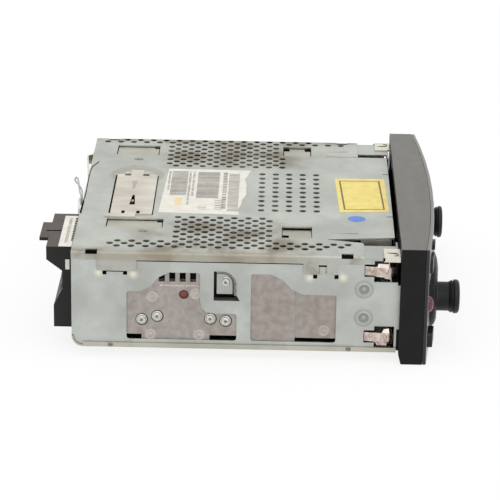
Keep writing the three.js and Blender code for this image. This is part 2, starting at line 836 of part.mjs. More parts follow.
// One side flange of the cover, with its two hook tabs
function coverFlangeOutline() {
  const [foot, tabFoot] = [chassisHeight - coverFlange, chassisHeight - hookTabHeight];
  const start = alongDepth(coverShares.stripFront);
  const points = [[start, chassisHeight], [start, foot]];
  for (const span of hookTabShares) {
    const [front, rear] = span.map(alongDepth);
    points.push([front, foot], [front, tabFoot], [rear, tabFoot], [rear, foot]);
  }
  points.push([chassisDepth, foot], [chassisDepth, chassisHeight]);
  return outlineOf(points);
}

// Perforated top cover with its lanced tongues, side flanges, hook tabs and the slots in its folds
function topCover() {
  const outline = coverOutline();
  outline.holes.push(...perforations());
  for (const w of [springWindowShares, ...tongueWindowShares]) {
    outline.holes.push(rectangularHole(...windowSpan(w)));
  }
  let cover = prismZ(outline, coverUnder, chassisHeight);
  for (const w of tongueWindowShares) cover = cover.add(lancedTongue(w));
  const h = hookTongueShares;
  const [front, rear] = [h.front, h.rear].map(alongDepth);
  const bottom = chassisHeight - hookTabHeight + hookTongueRise;
  const [top, gap] = [bottom + hookTongueLength, tabSlotWidth];
  const foldFoot = chassisHeight - foldSlotDepth;
  for (const side of [-1, 1]) {
    const through = across(side, halfWidth - sheet - over, halfWidth + over);
    cover = cover.add(prismX(coverFlangeOutline(), ...coverEdge(side)));
    for (const share of foldSlotShares) {
      const y = alongDepth(share);
      cover = cover.subtract(box(...through, y, y + foldSlotLength, foldFoot, chassisHeight + over));
    }
    const lug = box(...through, front + gap, rear - gap, bottom - over, top - gap);
    cover = cover.subtract(box(...through, front, rear, bottom, top).subtract(lug));
  }
  const edge = alongDepth(coverShares.tongueFront);
  for (const share of frontNickShares) {
    const x = alongWidth(share);
    const nick = rectangle(x - nickWidth / 2, x + nickWidth / 2, edge - over, edge + nickDepth);
    cover = cover.subtract(prismZ(nick, coverUnder - over, chassisHeight + over));
  }
  return cover;
}

// Bright spring plate in the cover's window, lapped over the window's near and far edges
function springPlate() {
  const [near, far, windowFront, windowRear] = windowSpan(springWindowShares);
  const [front, rear] = [windowFront + springGap, windowRear - springGap];
  const [length, depth, middle] = [far - near, rear - front, (front + rear) / 2];
  const tab = springTabWidth / 2;
  const [endFront, endRear] = [-1, 1].map((side) => middle + springEndOffset + (side * springEndWidth) / 2);
  const outline = outlineOf([
    [near, front], [far, front], [far, middle - tab], [far + springTabLength, middle - tab],
    [far + springTabLength, middle + tab], [far, middle + tab], [far, rear], [near, rear],
    [near, endRear], [near - springEndLength, endRear], [near - springEndLength, endFront], [near, endFront],
  ]);
  for (const share of springHoleShares) {
    const [x, y] = [near + springHoleInset, front + share * depth];
    outline.holes.push(rectangularHole(x, x + springHoleLength, y, y + springHoleWidth));
  }
  const s = springSlotShares;
  const [root, tip, half] = [near + s.near * length, near + s.far * length, springSlotTip / 2];
  const [rootFront, rootRear] = [front + s.front * depth, front + s.rear * depth];
  const slot = [[root, rootFront], [tip, middle - half], [tip, middle + half], [root, rootRear]];
  outline.holes.push(outlineOf(slot, new THREE.Path()));
  return prismZ(outline, chassisHeight + seam, chassisHeight + seam + springSheet);
}

// Die-cast heat sink plate with its comb along the top, notches along the bottom and a thinner front part
function heatSink() {
  const s = sinkSpanShares;
  const [front, rear] = [s.front, s.rear].map(alongDepth);
  const [bottom, top] = [s.bottom, s.top].map(alongHeight);
  const outline = rectangle(front, rear, bottom, top);
  for (const [y, z] of sinkScrewShares) {
    outline.holes.push(polygonHole(alongDepth(y), alongHeight(z), sinkScrewHole, screwSides));
  }
  const [eyeY, eyeZ] = sinkEyeShares;
  outline.holes.push(polygonHole(alongDepth(eyeY), alongHeight(eyeZ), sinkEyeRadius, roundSides));
  let sink = prismX(outline, -sinkOuter, -sinkInner);
  const cut = (y0, y1, z0, z1, depth = sinkThickness + over) => {
    sink = sink.subtract(box(-sinkOuter - over, depth - sinkOuter, y0, y1, z0, z1));
  };
  for (let i = 0; i < combSlots; i += 1) {
    const y = alongDepth(combShares.front) + i * combPitch;
    cut(y, y + combWidth, alongHeight(combShares.bottom), top + over);
  }
  for (const [y0, y1, level] of sinkNotchShares) {
    cut(alongDepth(y0), alongDepth(y1), bottom - over, alongHeight(level));
  }
  const lug = lugWindowShares;
  cut(alongDepth(lug.front) - sinkMargin, alongDepth(lug.rear) + fit, alongHeight(lug.bottom), top + over);
  cut(front - over, alongDepth(s.thin), bottom - over, top + over, sinkStep);
  const shoulder = alongHeight(sinkShoulderShares.bottom);
  cut(front - over, alongDepth(sinkShoulderShares.front), shoulder, top + over);
  cut(alongDepth(sinkShoulderShares.rear), rear + over, shoulder, top + over);
  return sink;
}

// A pan-head screw along X, its head's underside at the origin and its head towards -X
function screw() {
  const head = screwHeadHeight;
  return turnedX([
    [0, screwShankLength], [screwShankRadius, screwShankLength], [screwShankRadius, 0],
    [screwHeadRadius, 0], [screwHeadRadius - head / 2, -head], [0, -head],
  ], screwSides);
}

// A leaf spring latch: rooted at the rear, bulging outwards, with its tip tucked in behind the wall
function latch(reach) {
  const t = latchSheet;
  const [first, second] = latchBulgeShares.map((share) => -share * reach);
  return prismZ(outlineOf([
    [0, 0], [-latchBulge, first], [-latchBulge, second], [latchTipTuck, -reach], [latchTipTuck + t, -reach],
    [t - latchBulge, t + second], [t - latchBulge, first], [t, 0],
  ]), -latchHeight / 2, latchHeight / 2);
}

// A bright clip over a front corner, with a small slot in its top
function cornerClip(side) {
  const [x0, x1] = across(side, halfWidth - clipReach, halfWidth);
  const front = fit - fasciaGap;
  const [x, y] = [(x0 + x1) / 2, front + clipLength / 2];
  const [w, l] = [clipSlotWidth / 2, clipSlotLength / 2];
  const plate = rectangle(x0, x1, front, front + clipLength);
  plate.holes.push(rectangularHole(x - w, x + w, y - l, y + l));
  const skirt = box(...coverEdge(side), front, front + clipLength, chassisHeight - clipSkirt, chassisHeight);
  return prismZ(plate, coverUnder, chassisHeight).add(skirt);
}

// Where the buttons stand: name, place across, level, width, height and how far each stands proud
function buttonPlan() {
  const plan = [];
  for (let i = 0; i < presetCount; i += 1) {
    const place = (i - (presetCount - 1) / 2) * presetPitch;
    plan.push([`preset_button_${i + 1}`, place, presetLevel, presetWidth, presetHeight, buttonProud]);
  }
  for (const [word, side] of [['left', -1], ['right', 1]]) {
    const [end, top] = [side * endButtonPlace, side * topButtonPlace];
    plan.push([`upper_button_${word}`, end, upperButtonLevel, endButtonWidth, endButtonHeight, buttonProud]);
    plan.push([`lower_button_${word}`, end, lowerButtonLevel, endButtonWidth, endButtonHeight, rockerProud]);
    plan.push([`top_button_${word}`, top, topButtonLevel, topButtonWidth, topButtonHeight, buttonProud]);
  }
  return plan;
}

// Where a button's flange lies: just behind the panel's inner face at the flange's outer end
function flangeFront(x, width) {
  return frontAt(Math.abs(x) + width / 2 + buttonFlangeLip, panelThickness) + fit;
}

// Front moulding's rim and rear web, with posts inside and pockets for the side walls' tongues
function fasciaFrame() {
  const shell = (half, depth, rear) => outlineOf([[half, rear], [-half, rear], ...frontPoints(depth, half)]);
  const [web, join] = [fasciaRear - fasciaWeb, panelThickness + sheetLap];
  const through = [web - over, fasciaRear + over];
  const inside = shell(fasciaHalf - fasciaWall, join - over, web);
  const x = webOpeningShare * fasciaHalf;
  let frame = prismZ(shell(fasciaHalf, join, fasciaRear), -fasciaDrop, fasciaTop)
    .subtract(prismZ(inside, fasciaWall - fasciaDrop, fasciaTop - fasciaWall))
    .subtract(box(-x, x, ...through, fasciaWall, chassisHeight - fasciaWall));
  const [inner, foot] = [fasciaRear - fasciaChamferDepth, -fasciaDrop - over];
  const chamfer = outlineOf([
    [fasciaRear + over, fasciaChamferHeight - fasciaDrop], [fasciaRear, fasciaChamferHeight - fasciaDrop],
    [inner, -fasciaDrop], [inner, foot], [fasciaRear + over, foot],
  ]);
  frame = frame.subtract(prismX(chamfer, -fasciaHalf - over, fasciaHalf + over));
  const [low, high] = [alongHeight(wallTongueShares.bottom) - fit, alongHeight(wallTongueShares.top) + fit];
  const post = turnedY(rod(postRadius, switchBoardRear + seam, web + seam), screwSides);
  for (const side of [-1, 1]) {
    frame = frame.subtract(box(...across(side, wallInner - fit, wallOuter + fit), ...through, low, high));
    for (const share of postShares) {
      frame = frame.add(post.translate(side * (x + postRadius), 0, alongHeight(share) + fasciaWall));
    }
  }
  return frame;
}

// Curved front plate with its disc slot, display opening, button openings, knob holes and lens hole
function frontPanel() {
  let panel = prismZ(frontSlice(0, panelThickness), -fasciaDrop, fasciaTop);
  const [front, back] = [frontAt(0) - over, fasciaRear];
  const opening = (width, height, radius, x, z) => (
    prismY(roundedRectangle(width, height, radius), front, back, cornerSteps).translate(x, 0, z)
  );
  const slotWidth = 2 * slotHalf;
  const [width, height] = [slotWidth + slotFunnel + slotFunnel, slotHeight + slotFunnel + slotFunnel];
  const funnel = opening(width, height, slotCorner + slotFunnel / 2, 0, slotLevel);
  const skin = prismZ(frontSlice(-over, funnelDepth), -fasciaDrop, fasciaTop);
  panel = panel.subtract(funnel.intersect(skin));
  panel = panel.subtract(opening(slotWidth, slotHeight, slotCorner, 0, slotLevel));
  panel = panel.subtract(opening(2 * displayHalf, displayHeight, displayCorner, 0, displayLevel));
  for (const [, x, z, w, h] of buttonPlan()) {
    panel = panel.subtract(opening(w + fit + fit, h + fit + fit, buttonCorner + fit, x, z));
  }
  for (const [x, z, radius] of [
    [-knobPlace, knobLevel, shaftHoleRadius], [knobPlace, knobLevel, shaftHoleRadius],
    [-statusPlace, displayLevel, statusRadius + fit],
  ]) {
    panel = panel.subtract(turnedY(rod(radius, front, back), roundSides).translate(x, 0, z));
  }
  return panel;
}

// Clear window over the display, following the panel's curve
function displayLens() {
  const [width, height] = [2 * (displayHalf - fit), displayHeight - fit - fit];
  const shape = roundedRectangle(width, height, displayCorner - fit);
  const block = prismY(shape, frontAt(0) - over, fasciaRear, cornerSteps).translate(0, 0, displayLevel);
  return block.intersect(prismZ(frontSlice(lensRecess, panelThickness), -fasciaDrop, fasciaTop));
}

// Display unit standing on the switch board behind the lens
function displayModule() {
  const half = displayHalf - moduleBorder;
  const tall = displayHeight / 2 + moduleBorder;
  const back = switchBoardFront - seam;
  return box(-half, half, back - moduleDepth, back, displayLevel - tall, displayLevel + tall);
}

// One button: a rounded cap that follows the panel's curve, on a flange behind the panel
function button([name, x, z, width, height, proud], paint) {
  const [front, back] = [flangeFront(x, width), flangeFront(x, width) + buttonFlangeThickness];
  const outer = frontAt(0) - proud - over;
  const shape = roundedRectangle(width, height, buttonCorner);
  const cap = prismY(shape, outer, back, cornerSteps).translate(x, 0, z);
  const waste = prismZ(frontSlice(-proud - over - fasciaBow, -proud), -fasciaDrop, fasciaTop);
  const [w, h] = [width / 2 + buttonFlangeLip, height / 2 + buttonFlangeLip];
  return piece(name, cap.subtract(waste).add(box(x - w, x + w, front, back, z - h, z + h)), paint);
}

// Switch board: notched for the disc slot, with a switch under each button
function switchBoard() {
  const half = fasciaHalf - switchBoardMargin;
  const [low, high] = [fasciaWall - fasciaDrop + switchBoardFoot, fasciaTop - fasciaWall - fit];
  const shelf = slotLevel - slotHeight - over;
  let board = prismY(outlineOf([
    [-half, low], [half, low], [half, high], [discHalf, high], [discHalf, shelf], [-discHalf, shelf],
    [-discHalf, high], [-half, high],
  ]), switchBoardFront, switchBoardRear);
  const reach = switchSize / 2;
  for (const [, x, z, width] of buttonPlan()) {
    const face = flangeFront(x, width) + buttonFlangeThickness + buttonTravel + fit;
    board = board.add(box(x - reach, x + reach, face, switchBoardFront + seam, z - reach, z + reach));
  }
  return board;
}

// Rotary encoder's housing, bored for its shaft
function encoder(x) {
  const half = encoderSize / 2;
  const shape = rectangle(-half, half, -half, half);
  shape.holes.push(polygonHole(0, 0, shaftRadius + shaftClearance, roundSides));
  const back = switchBoardFront - seam;
  return prismY(shape, back - encoderDepth, back).translate(x, 0, knobLevel);
}

const knobBase = frontAt(knobPlace - knobCapRadius) - knobRise;
const shaftTail = switchBoardFront - seam - encoderDepth / 2;

// Encoder shaft, from inside its housing to inside its knob, standing along Y
function encoderShaft(knobLength) {
  const tip = knobBase - (knobLength - knobBoreWall) + fit;
  return turnedY(rod(shaftRadius, tip, shaftTail), roundSides);
}

// Knob: a plain stem, a wider cap with a groove round it, a dished face and a bore for the shaft
function knob(length) {
  const bore = shaftRadius + shaftClearance;
  const boreEnd = knobBoreWall - length;
  const [stem, grooveStart, grooveEnd] = [stemShare, ...knobGrooveShares].map((share) => -share * length);
  const [waist, dish] = [knobCapRadius - knobGroove, knobStemRadius - knobEase];
  return turnedY([
    [0, boreEnd], [bore, boreEnd], [bore, 0], [knobStemRadius - knobEase, 0], [knobStemRadius, -knobEase],
    [knobStemRadius, stem], [knobCapRadius, stem - knobEase / 2], [knobCapRadius, grooveStart],
    [waist, grooveStart], [waist, grooveEnd], [knobCapRadius, grooveEnd], [knobCapRadius, knobEase - length],
    [knobCapRadius - knobEase, -length], [dish, -length], [dish - knobEase, knobDish - length],
    [0, knobDish - length],
  ], knobSides);
}

// Domed red lens at the left end of the front
function statusLens() {
  const face = frontAt(statusPlace);
  const [back, rim] = [face + panelThickness, face - statusDome / 2];
  const crown = rim - statusDome;
  return turnedY([
    [0, back], [statusRadius, back], [statusRadius, rim], [statusRadius - statusDome, crown], [0, crown],
  ], roundSides).translate(-statusPlace, 0, displayLevel);
}

// Main circuit board, from the heat sink to the right wall
function mainBoard() {
  const rear = rearWallFront - fit;
  const front = alongDepth(lowerLatchShares.root) + fit;
  return box(fit - sinkInner, wallInner - fit, front, rear, boardLevel, boardTop);
}

// Power amplifier chip standing on the board against the heat sink
function amplifierChip() {
  const [middle, reach] = [alongDepth(sinkEyeShares[0]), chipLength / 2];
  const [face, foot] = [fit - sinkInner, boardTop + seam];
  return box(face, face + chipThickness, middle - reach, middle + reach, foot, foot + chipHeight);
}

function tunerModule() {
  const [half, rear, foot] = [tunerWidth / 2, rearWallFront - tunerSetback, boardTop + seam];
  return box(antennaPlace - half, antennaPlace + half, rear - tunerDepth, rear, foot, foot + tunerHeight);
}

// A can on the board: round, with a rolled edge
function capacitor() {
  const [r, h] = [capacitorRadius, capacitorHeight];
  return turnedZ([[0, 0], [r, 0], [r, h - capacitorEase], [r - capacitorEase, h], [0, h]], roundSides);
}

// The blade pins of one of the connector block's chambers
function chamberPins(middle, level, floor) {
  const pins = [];
  for (let column = 0; column < pinColumns; column += 1) {
    for (let row = 0; row < pinRows; row += 1) {
      const x = middle + (column - (pinColumns - 1) / 2) * pinPitch;
      const z = level + (row - (pinRows - 1) / 2) * pinRowPitch;
      const [w, h] = [pinWidth / 2, pinHeight / 2];
      pins.push(box(x - w, x + w, floor - seam, floor + pinLength, z - h, z + h));
    }
  }
  return pins;
}

// Rear connector block: a stepped side profile with two pin chambers and, above them, three plain cells
function rearHeader() {
  const s = headerStepShares;
  const level = (share) => headerBottom + share * headerHeight;
  const [inside, foot, lip] = [rearWallFront - headerInside, boardTop + fit, chassisDepth + fit];
  const [shelf, waist] = [chassisDepth + headerShelfReach, chassisDepth + headerWaistReach];
  let block = prismX(outlineOf([
    [inside, foot], [lip, foot], [lip, headerBottom], [shelf, headerBottom], [shelf, level(s.shelf)],
    [waist, level(s.waistLow)], [waist, level(s.waistHigh)], [headerRear, level(s.lip)],
    [headerRear, headerTop], [inside, headerTop],
  ]), headerNear, headerFar);
  const middle = (headerNear + headerFar) / 2;
  const [half, floor] = [headerWidth / 2 - chamberMargin, inside + headerFloor];
  for (const [bottom, top] of [...pinChamberShares, cellChamberShares]) {
    const low = Math.max(level(bottom), foot + headerWall);
    block = block.subtract(box(middle - half, middle + half, floor, headerRear + over, low, level(top)));
  }
  for (const [bottom, top] of pinChamberShares) {
    const centre = (Math.max(level(bottom), foot + headerWall) + level(top)) / 2;
    for (const pin of chamberPins(middle, centre, floor)) block = block.add(pin);
  }
  const [low, high] = cellChamberShares.map(level);
  for (const share of cellShares) {
    const x = middle + share * half;
    const [near, far, rear] = [x - cellWall / 2, x + cellWall / 2, headerRear - cellSetback];
    block = block.add(box(near, far, floor - seam, rear, low - seam, high + seam));
  }
  const [tab, rear, under] = [keyTabWidth / 2, headerRear + keyTabReach, headerTop - headerWall];
  return block.add(box(middle - tab, middle + tab, headerRear - over, rear, under, headerTop - seam));
}

// Antenna socket through the rear wall, with its centre contact
function antennaSocket() {
  const [r, bore, flange, pin] = [antennaRadius, antennaBore, antennaFlange, antennaPin];
  const [inside, out] = [rearWallFront - tunerSetback + fit, chassisDepth + antennaReach];
  const floor = inside + antennaFlangeThickness;
  const [rest, tip] = [chassisDepth + fit, floor + antennaPinLength];
  const step = rest + antennaFlangeThickness;
  return turnedY([
    [0, inside], [r, inside], [r, rest], [flange, rest], [flange, step], [r, step], [r, out], [bore, out],
    [bore, floor], [pin, floor], [pin, tip], [0, tip],
  ], roundSides).translate(antennaPlace, 0, antennaLevel);
}

// Fuse holder on the board, and the blade fuse that plugs into it through the rear wall
function fuseHolder() {
  const [half, rear, top] = [fuseWidth / 2 + fit, rearWallFront - fit, fuseLevel + fuseHeight];
  return box(fusePlace - half, fusePlace + half, rear - fuseHolderDepth, rear, boardTop + seam, top);
}

function bladeFuse() {
  const [half, tall] = [fuseWidth / 2, fuseHeight / 2];
  const front = rearWallFront - fit + seam;
  const waist = box(-half + fit, half - fit, front, chassisDepth + fit, fit - tall, tall - fit);
  const body = box(-half, half, chassisDepth, chassisDepth + fuseReach, -tall, tall);
  return waist.add(body).translate(fusePlace, 0, fuseLevel);
}

// Bent strap on the rear wall behind the cover's far side
function rearStrap() {
  const [half, foot, t, b] = [strapSpan / 2, chassisDepth + seam, sheet, strapBulge];
  return prismZ(outlineOf([
    [-half, foot], [b - half, foot], [half - b - b, foot + b], [half - b, foot + b], [half - t, foot],
    [half + b, foot], [half + b, foot + t], [half, foot + t], [half - b + t / 2, foot + b + t],
    [half - b - b, foot + b + t], [b - half - t / 2, foot + t], [-half, foot + t],
  ]), -strapHeight, 0).translate(strapPlace, 0, wallHead - fit);
}

// Disc player's frame: a tray with a disc opening, seats for its roller and rods, and two screw ears
function deckBase() {
  const t = deckSheet;
  const [bridgeFront, bridgeRear] = [discPlace - bridgeDepth / 2, discPlace + bridgeDepth / 2];
  const inside = [t - deckHalf, deckHalf - t, deckFront + t, deckRear - t];
  const axle = turnedX(rod(rollerAxle + rodClearance, -deckHalf - over, deckHalf + over), screwSides);
  let deck = box(-deckHalf, deckHalf, deckFront, deckRear, deckFloor, deckRim)
    .add(box(-deckHalf, deckHalf, bridgeFront, bridgeRear, deckRim - over, bridgeLevel - seam))
    .subtract(box(...inside, deckFloor + t, bridgeLevel + over))
    .subtract(box(-discHalf, discHalf, deckFront - over, deckFront + t + over, deckSill, deckRim + over))
    .subtract(axle.translate(0, deckFront + rollerSetback, rollerLevel));
  const [rodBore, half] = [rodRadius + rodClearance, rodPostWidth / 2];
  const [postNear, postFar] = [-turntableRadius - rodPostLength, -turntableRadius];
  const seat = turnedX(rod(rodBore, postNear + rodPostLength / 2, 0), screwSides);
  const bore = turnedX(rod(rodBore, 0, deckHalf + over), screwSides);
  for (const y of [discPlace - rodOffset, discPlace + rodOffset]) {
    deck = deck.add(box(postNear, postFar, y - half, y + half, deckFloor, sledLevel + rodPostHeight))
      .subtract(seat.translate(0, y, sledLevel))
      .subtract(bore.translate(0, y, sledLevel));
  }
  const [y, z] = [alongDepth(lugScrewShares[0]), alongHeight(lugScrewShares[1])];
  const [w, h, reach] = [earWidth / 2, earHeight / 2, wallOuter - lugDepth - sheet - fit];
  for (const side of [-1, 1]) {
    const through = across(side, reach - screwShankLength, reach + over);
    const hole = turnedX(rod(lugScrewHole, ...through), screwSides);
    const ear = box(...across(side, deckHalf - t, reach), y - w, y + w, z - h, z + h);
    deck = deck.add(ear.subtract(hole.translate(0, y, z)));
  }
  return deck;
}

// Bridge over the disc, which carries the clamp
function deckLid() {
  const outline = rectangle(-deckHalf, deckHalf, discPlace - bridgeDepth / 2, discPlace + bridgeDepth / 2);
  outline.holes.push(polygonHole(0, discPlace, clampNeck + sheet, roundSides));
  return prismZ(outline, bridgeLevel, bridgeLevel + sheet);
}

// Feed roller on its axle, drawn in at the waist
function feedRoller() {
  const [half, end, axle, r] = [slotHalf - rollerEase, deckHalf + seam, rollerAxle, rollerRadius];
  return turnedX([
    [0, -end], [axle, -end], [axle, -half], [r, -half], [r - rollerWaist, 0], [r, half], [axle, half],
    [axle, end], [0, end],
  ], roundSides);
}

function spindleMotor() {
  const [foot, bore] = [deckFloor + deckSheet + seam, spindleRadius + rodClearance];
  return turnedZ([
    [0, foot], [motorRadius, foot], [motorRadius, motorTop], [bore, motorTop],
    [bore, motorTop - motorBore], [0, motorTop - motorBore],
  ], roundSides).translate(0, discPlace, 0);
}

// Turntable on its spindle, with the hub that centres a disc
function turntable() {
  const [foot, under, top] = [motorTop - spindleDepth, turntableUnder, turntableTop];
  const [rim, crown] = [top + hubRim, top + hubHeight];
  return turnedZ([
    [0, foot], [spindleRadius, foot], [spindleRadius, under], [turntableRadius, under],
    [turntableRadius, top], [hubRadius, top], [hubRadius, rim], [hubRadius - hubRim, crown], [0, crown],
  ], roundSides);
}

// Clamp above the disc, held in the bridge's hole between its two flanges
function discClamp() {
  const [bottom, shoulder] = [discLevel + discThickness + clampLift, bridgeLevel + sheet + fit];
  const [flange, crown] = [bottom + clampThickness, shoulder + clampCap];
  return turnedZ([
    [0, bottom], [clampRadius, bottom], [clampRadius, flange], [clampNeck, flange], [clampNeck, shoulder],
    [clampTop, shoulder], [clampTop, crown], [0, crown],
  ], roundSides);
}

// Laser sled, bored for its two rods, with the lens on top
function pickupSled() {
  const [bore, end] = [rodRadius + rodClearance, sledStart + sledLength];
  const half = rodOffset + bore + sledMargin;
  const top = sledHeight / 2;
  let sled = box(sledStart, end, -half, half, -top, top);
  for (const offset of [-rodOffset, rodOffset]) {
    const tunnel = turnedX(rod(bore, sledStart - over, end + over), screwSides);
    sled = sled.subtract(tunnel.translate(0, offset, 0));
  }
  const lens = turnedZ(rod(lensRadius, top - seam, top + lensHeight), screwSides);
  return sled.add(lens.translate(sledStart + lensRadius + sledMargin, 0, 0));
}

function guideRod() {
  return turnedX(rod(rodRadius, fit - turntableRadius - rodPostLength / 2, deckHalf + seam), screwSides);
}

// The wire tie's route: out of the rear wall, round its eye and back, as shares of its span, reach and rise
const wireRouteShares = [
  [0.21, 0, 0.33], [0.27, 0.08, 0.51], [0.5, 0.24, 0.65], [0.71, 0.4, 0.78],
  [0.84, 0.64, 0.92], [0.91, 0.97, 0.98], [0.99, 0.91, 0.9], [0.97, 0.59, 0.76],
  [0.82, 0.29, 0.61], [0.57, 0.13, 0.45], [0.25, 0.07, 0.16], [0, 0, 0],
];

// Thin wire bent into an eye, both ends at the rear wall
function wireTie() {
  const foot = chassisDepth + wireStandoff;
  const route = new THREE.CatmullRomCurve3(wireRouteShares.map(([along, out, up]) => new THREE.Vector3(
    wirePlace + along * wireSpan, foot + out * wireReach, wireLevel + up * wireRise,
  )));
  const section = outlineOf(regularPoints(0, 0, wireRadius, screwSides));
  const sweep = { steps: wireSteps, extrudePath: route, bevelEnabled: false };
  return toSolid(new THREE.ExtrudeGeometry(section, sweep));
}

// Finishes
const galvanised = material('#bec2bc', 0.42, 0.85);
const innerSteel = material('#a9ada8', 0.5, 0.8);
const brightSteel = material('#d7cdc3', 0.28, 0.95);
const castAlloy = material('#968c8a', 0.55, 0.6);
const bronze = material('#b8a08a', 0.3, 0.95);
const screwZinc = material('#dcd8cc', 0.25, 0.95);
const blackPlastic = material('#2b2928', 0.55, 0);
const knobPlastic = material('#1d1c1c', 0.45, 0);
const buttonPlastic = material('#232222', 0.5, 0);
const smokedLens = material('#14181a', 0.08, 0);
const redLens = material('#a8323c', 0.15, 0);
const displayGlass = material('#2c3430', 0.2, 0);
const boardGreen = material('#1f5a3a', 0.5, 0);
const connectorBlack = material('#1a1a1b', 0.5, 0);
const fuseBlue = material('#3f6fc4', 0.3, 0);
const rubberBlack = material('#202020', 0.9, 0);
const whitePlastic = material('#e6e3dc', 0.5, 0);
const wireGrey = material('#a9a5a8', 0.4, 0.2);

const radio = new THREE.Group();
const chassis = new THREE.Group();
const front = new THREE.Group();
const player = new THREE.Group();
const rear = new THREE.Group();
radio.add(chassis, front, player, rear);

// A named piece set down at a place in its group
function placed(mesh, x, y, z) {
  mesh.position.set(x, y, z);
  return mesh;
}

chassis.add(piece('chassis_frame', chassisFrame(), galvanised));
chassis.add(piece('bottom_cover', bottomCover(), galvanised));
chassis.add(piece('top_cover', topCover(), galvanised));
chassis.add(piece('spring_plate', springPlate(), brightSteel));
chassis.add(piece('heat_sink', heatSink(), castAlloy));
sinkScrewShares.forEach(([y, z], i) => {
  const face = -sinkOuter - seam;
  const sinkScrew = piece(`sink_screw_${i + 1}`, screw(), screwZinc);
  chassis.add(placed(sinkScrew, face, alongDepth(y), alongHeight(z)));
});
for (const [word, side] of [['left', -1], ['right', 1]]) {
  const deckScrew = piece(`deck_screw_${word}`, screw(), screwZinc);
  const face = wallOuter - lugDepth + seam;
  const [along, up] = lugScrewShares;
  chassis.add(placed(deckScrew, side * face, alongDepth(along), alongHeight(up)));
  if (side > 0) deckScrew.rotation.y = Math.PI;
  for (const [height, s] of [['upper', upperLatchShares], ['lower', lowerLatchShares]]) {
    const root = alongDepth(s.root) - fit;
    const reach = root - alongDepth(lowerLatchShares.mouth) - fit;
    const leaf = piece(`latch_${word}_${height}`, latch(reach), bronze);
    chassis.add(placed(leaf, side * wallOuter, root, alongHeight(s.slot)));
    if (side > 0) leaf.rotation.y = Math.PI;
  }
  chassis.add(piece(`corner_clip_${word}`, cornerClip(side), brightSteel));
}

front.add(piece('fascia_frame', fasciaFrame(), blackPlastic));
front.add(piece('front_panel', frontPanel(), blackPlastic));
front.add(piece('display_lens', displayLens(), smokedLens));
front.add(piece('display_module', displayModule(), displayGlass));
front.add(piece('status_lens', statusLens(), redLens));
front.add(piece('switch_board', switchBoard(), boardGreen));
for (const plan of buttonPlan()) front.add(button(plan, buttonPlastic));
for (const [word, side, length] of [['volume', -1, volumeKnobLength], ['tuning', 1, tuningKnobLength]]) {
  const x = side * knobPlace;
  front.add(piece(`${word}_encoder`, encoder(x), innerSteel));
  front.add(placed(piece(`${word}_shaft`, encoderShaft(length), brightSteel), x, 0, knobLevel));
  front.add(placed(piece(`${word}_knob`, knob(length), knobPlastic), x, knobBase, knobLevel));
}

player.add(piece('deck_base', deckBase(), innerSteel));
player.add(piece('deck_lid', deckLid(), innerSteel));
const roller = piece('feed_roller', feedRoller(), rubberBlack);
player.add(placed(roller, 0, deckFront + rollerSetback, rollerLevel));
player.add(piece('spindle_motor', spindleMotor(), innerSteel));
player.add(placed(piece('turntable', turntable(), blackPlastic), 0, discPlace, 0));
player.add(placed(piece('disc_clamp', discClamp(), whitePlastic), 0, discPlace, 0));
player.add(placed(piece('pickup_sled', pickupSled(), blackPlastic), 0, discPlace, sledLevel));
for (const [word, y] of [['front', discPlace - rodOffset], ['rear', discPlace + rodOffset]]) {
  player.add(placed(piece(`guide_rod_${word}`, guideRod(), brightSteel), 0, y, sledLevel));
}

rear.add(piece('main_board', mainBoard(), boardGreen));
rear.add(piece('amplifier_chip', amplifierChip(), connectorBlack));
rear.add(piece('tuner_module', tunerModule(), brightSteel));
const capacitorRear = rearWallFront - capacitorRadius - capacitorSetback;
const can = piece('capacitor', capacitor(), knobPlastic);
rear.add(placed(can, capacitorPlace, capacitorRear, boardTop + seam));
rear.add(piece('rear_header', rearHeader(), connectorBlack));
rear.add(piece('antenna_socket', antennaSocket(), brightSteel));
rear.add(piece('fuse_holder', fuseHolder(), connectorBlack));
rear.add(piece('fuse', bladeFuse(), fuseBlue));
rear.add(piece('rear_strap', rearStrap(), brightSteel));
rear.add(piece('wire_tie', wireTie(), wireGrey));

// Set down with the origin at the middle of the underside
const frontmost = knobBase - volumeKnobLength;
const rearmost = headerRear + keyTabReach;
radio.position.set(0, -(frontmost + rearmost) / 2, fasciaDrop);

export default radio;
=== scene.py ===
import math

import bmesh
import bpy
from bpy.props import FloatProperty, FloatVectorProperty, IntProperty, PointerProperty
from mathutils import Matrix, Vector


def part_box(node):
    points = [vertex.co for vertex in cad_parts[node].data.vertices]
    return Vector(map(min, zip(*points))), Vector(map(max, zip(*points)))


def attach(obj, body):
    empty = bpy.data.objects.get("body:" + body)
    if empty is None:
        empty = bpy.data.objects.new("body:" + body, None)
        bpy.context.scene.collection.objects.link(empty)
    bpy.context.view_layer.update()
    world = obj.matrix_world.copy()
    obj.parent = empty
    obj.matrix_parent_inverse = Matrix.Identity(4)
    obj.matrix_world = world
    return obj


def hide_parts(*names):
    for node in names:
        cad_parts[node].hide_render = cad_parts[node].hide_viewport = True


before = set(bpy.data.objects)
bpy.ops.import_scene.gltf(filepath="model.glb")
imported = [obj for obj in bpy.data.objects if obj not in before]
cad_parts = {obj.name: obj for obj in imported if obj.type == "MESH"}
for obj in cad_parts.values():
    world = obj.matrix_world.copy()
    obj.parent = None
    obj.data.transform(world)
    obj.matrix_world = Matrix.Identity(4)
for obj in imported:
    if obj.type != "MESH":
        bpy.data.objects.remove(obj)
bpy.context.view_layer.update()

bl_info = {
    "name": "Car radio pieces",
    "version": (1, 0, 0),
    "blender": (4, 5, 0),
    "location": "View3D > Sidebar > Car radio",
    "description": "Builds the visible pieces and finishes of a car radio on its packed frame",
    "category": "Object",
}

MM = 0.001
TAU = 2 * math.pi

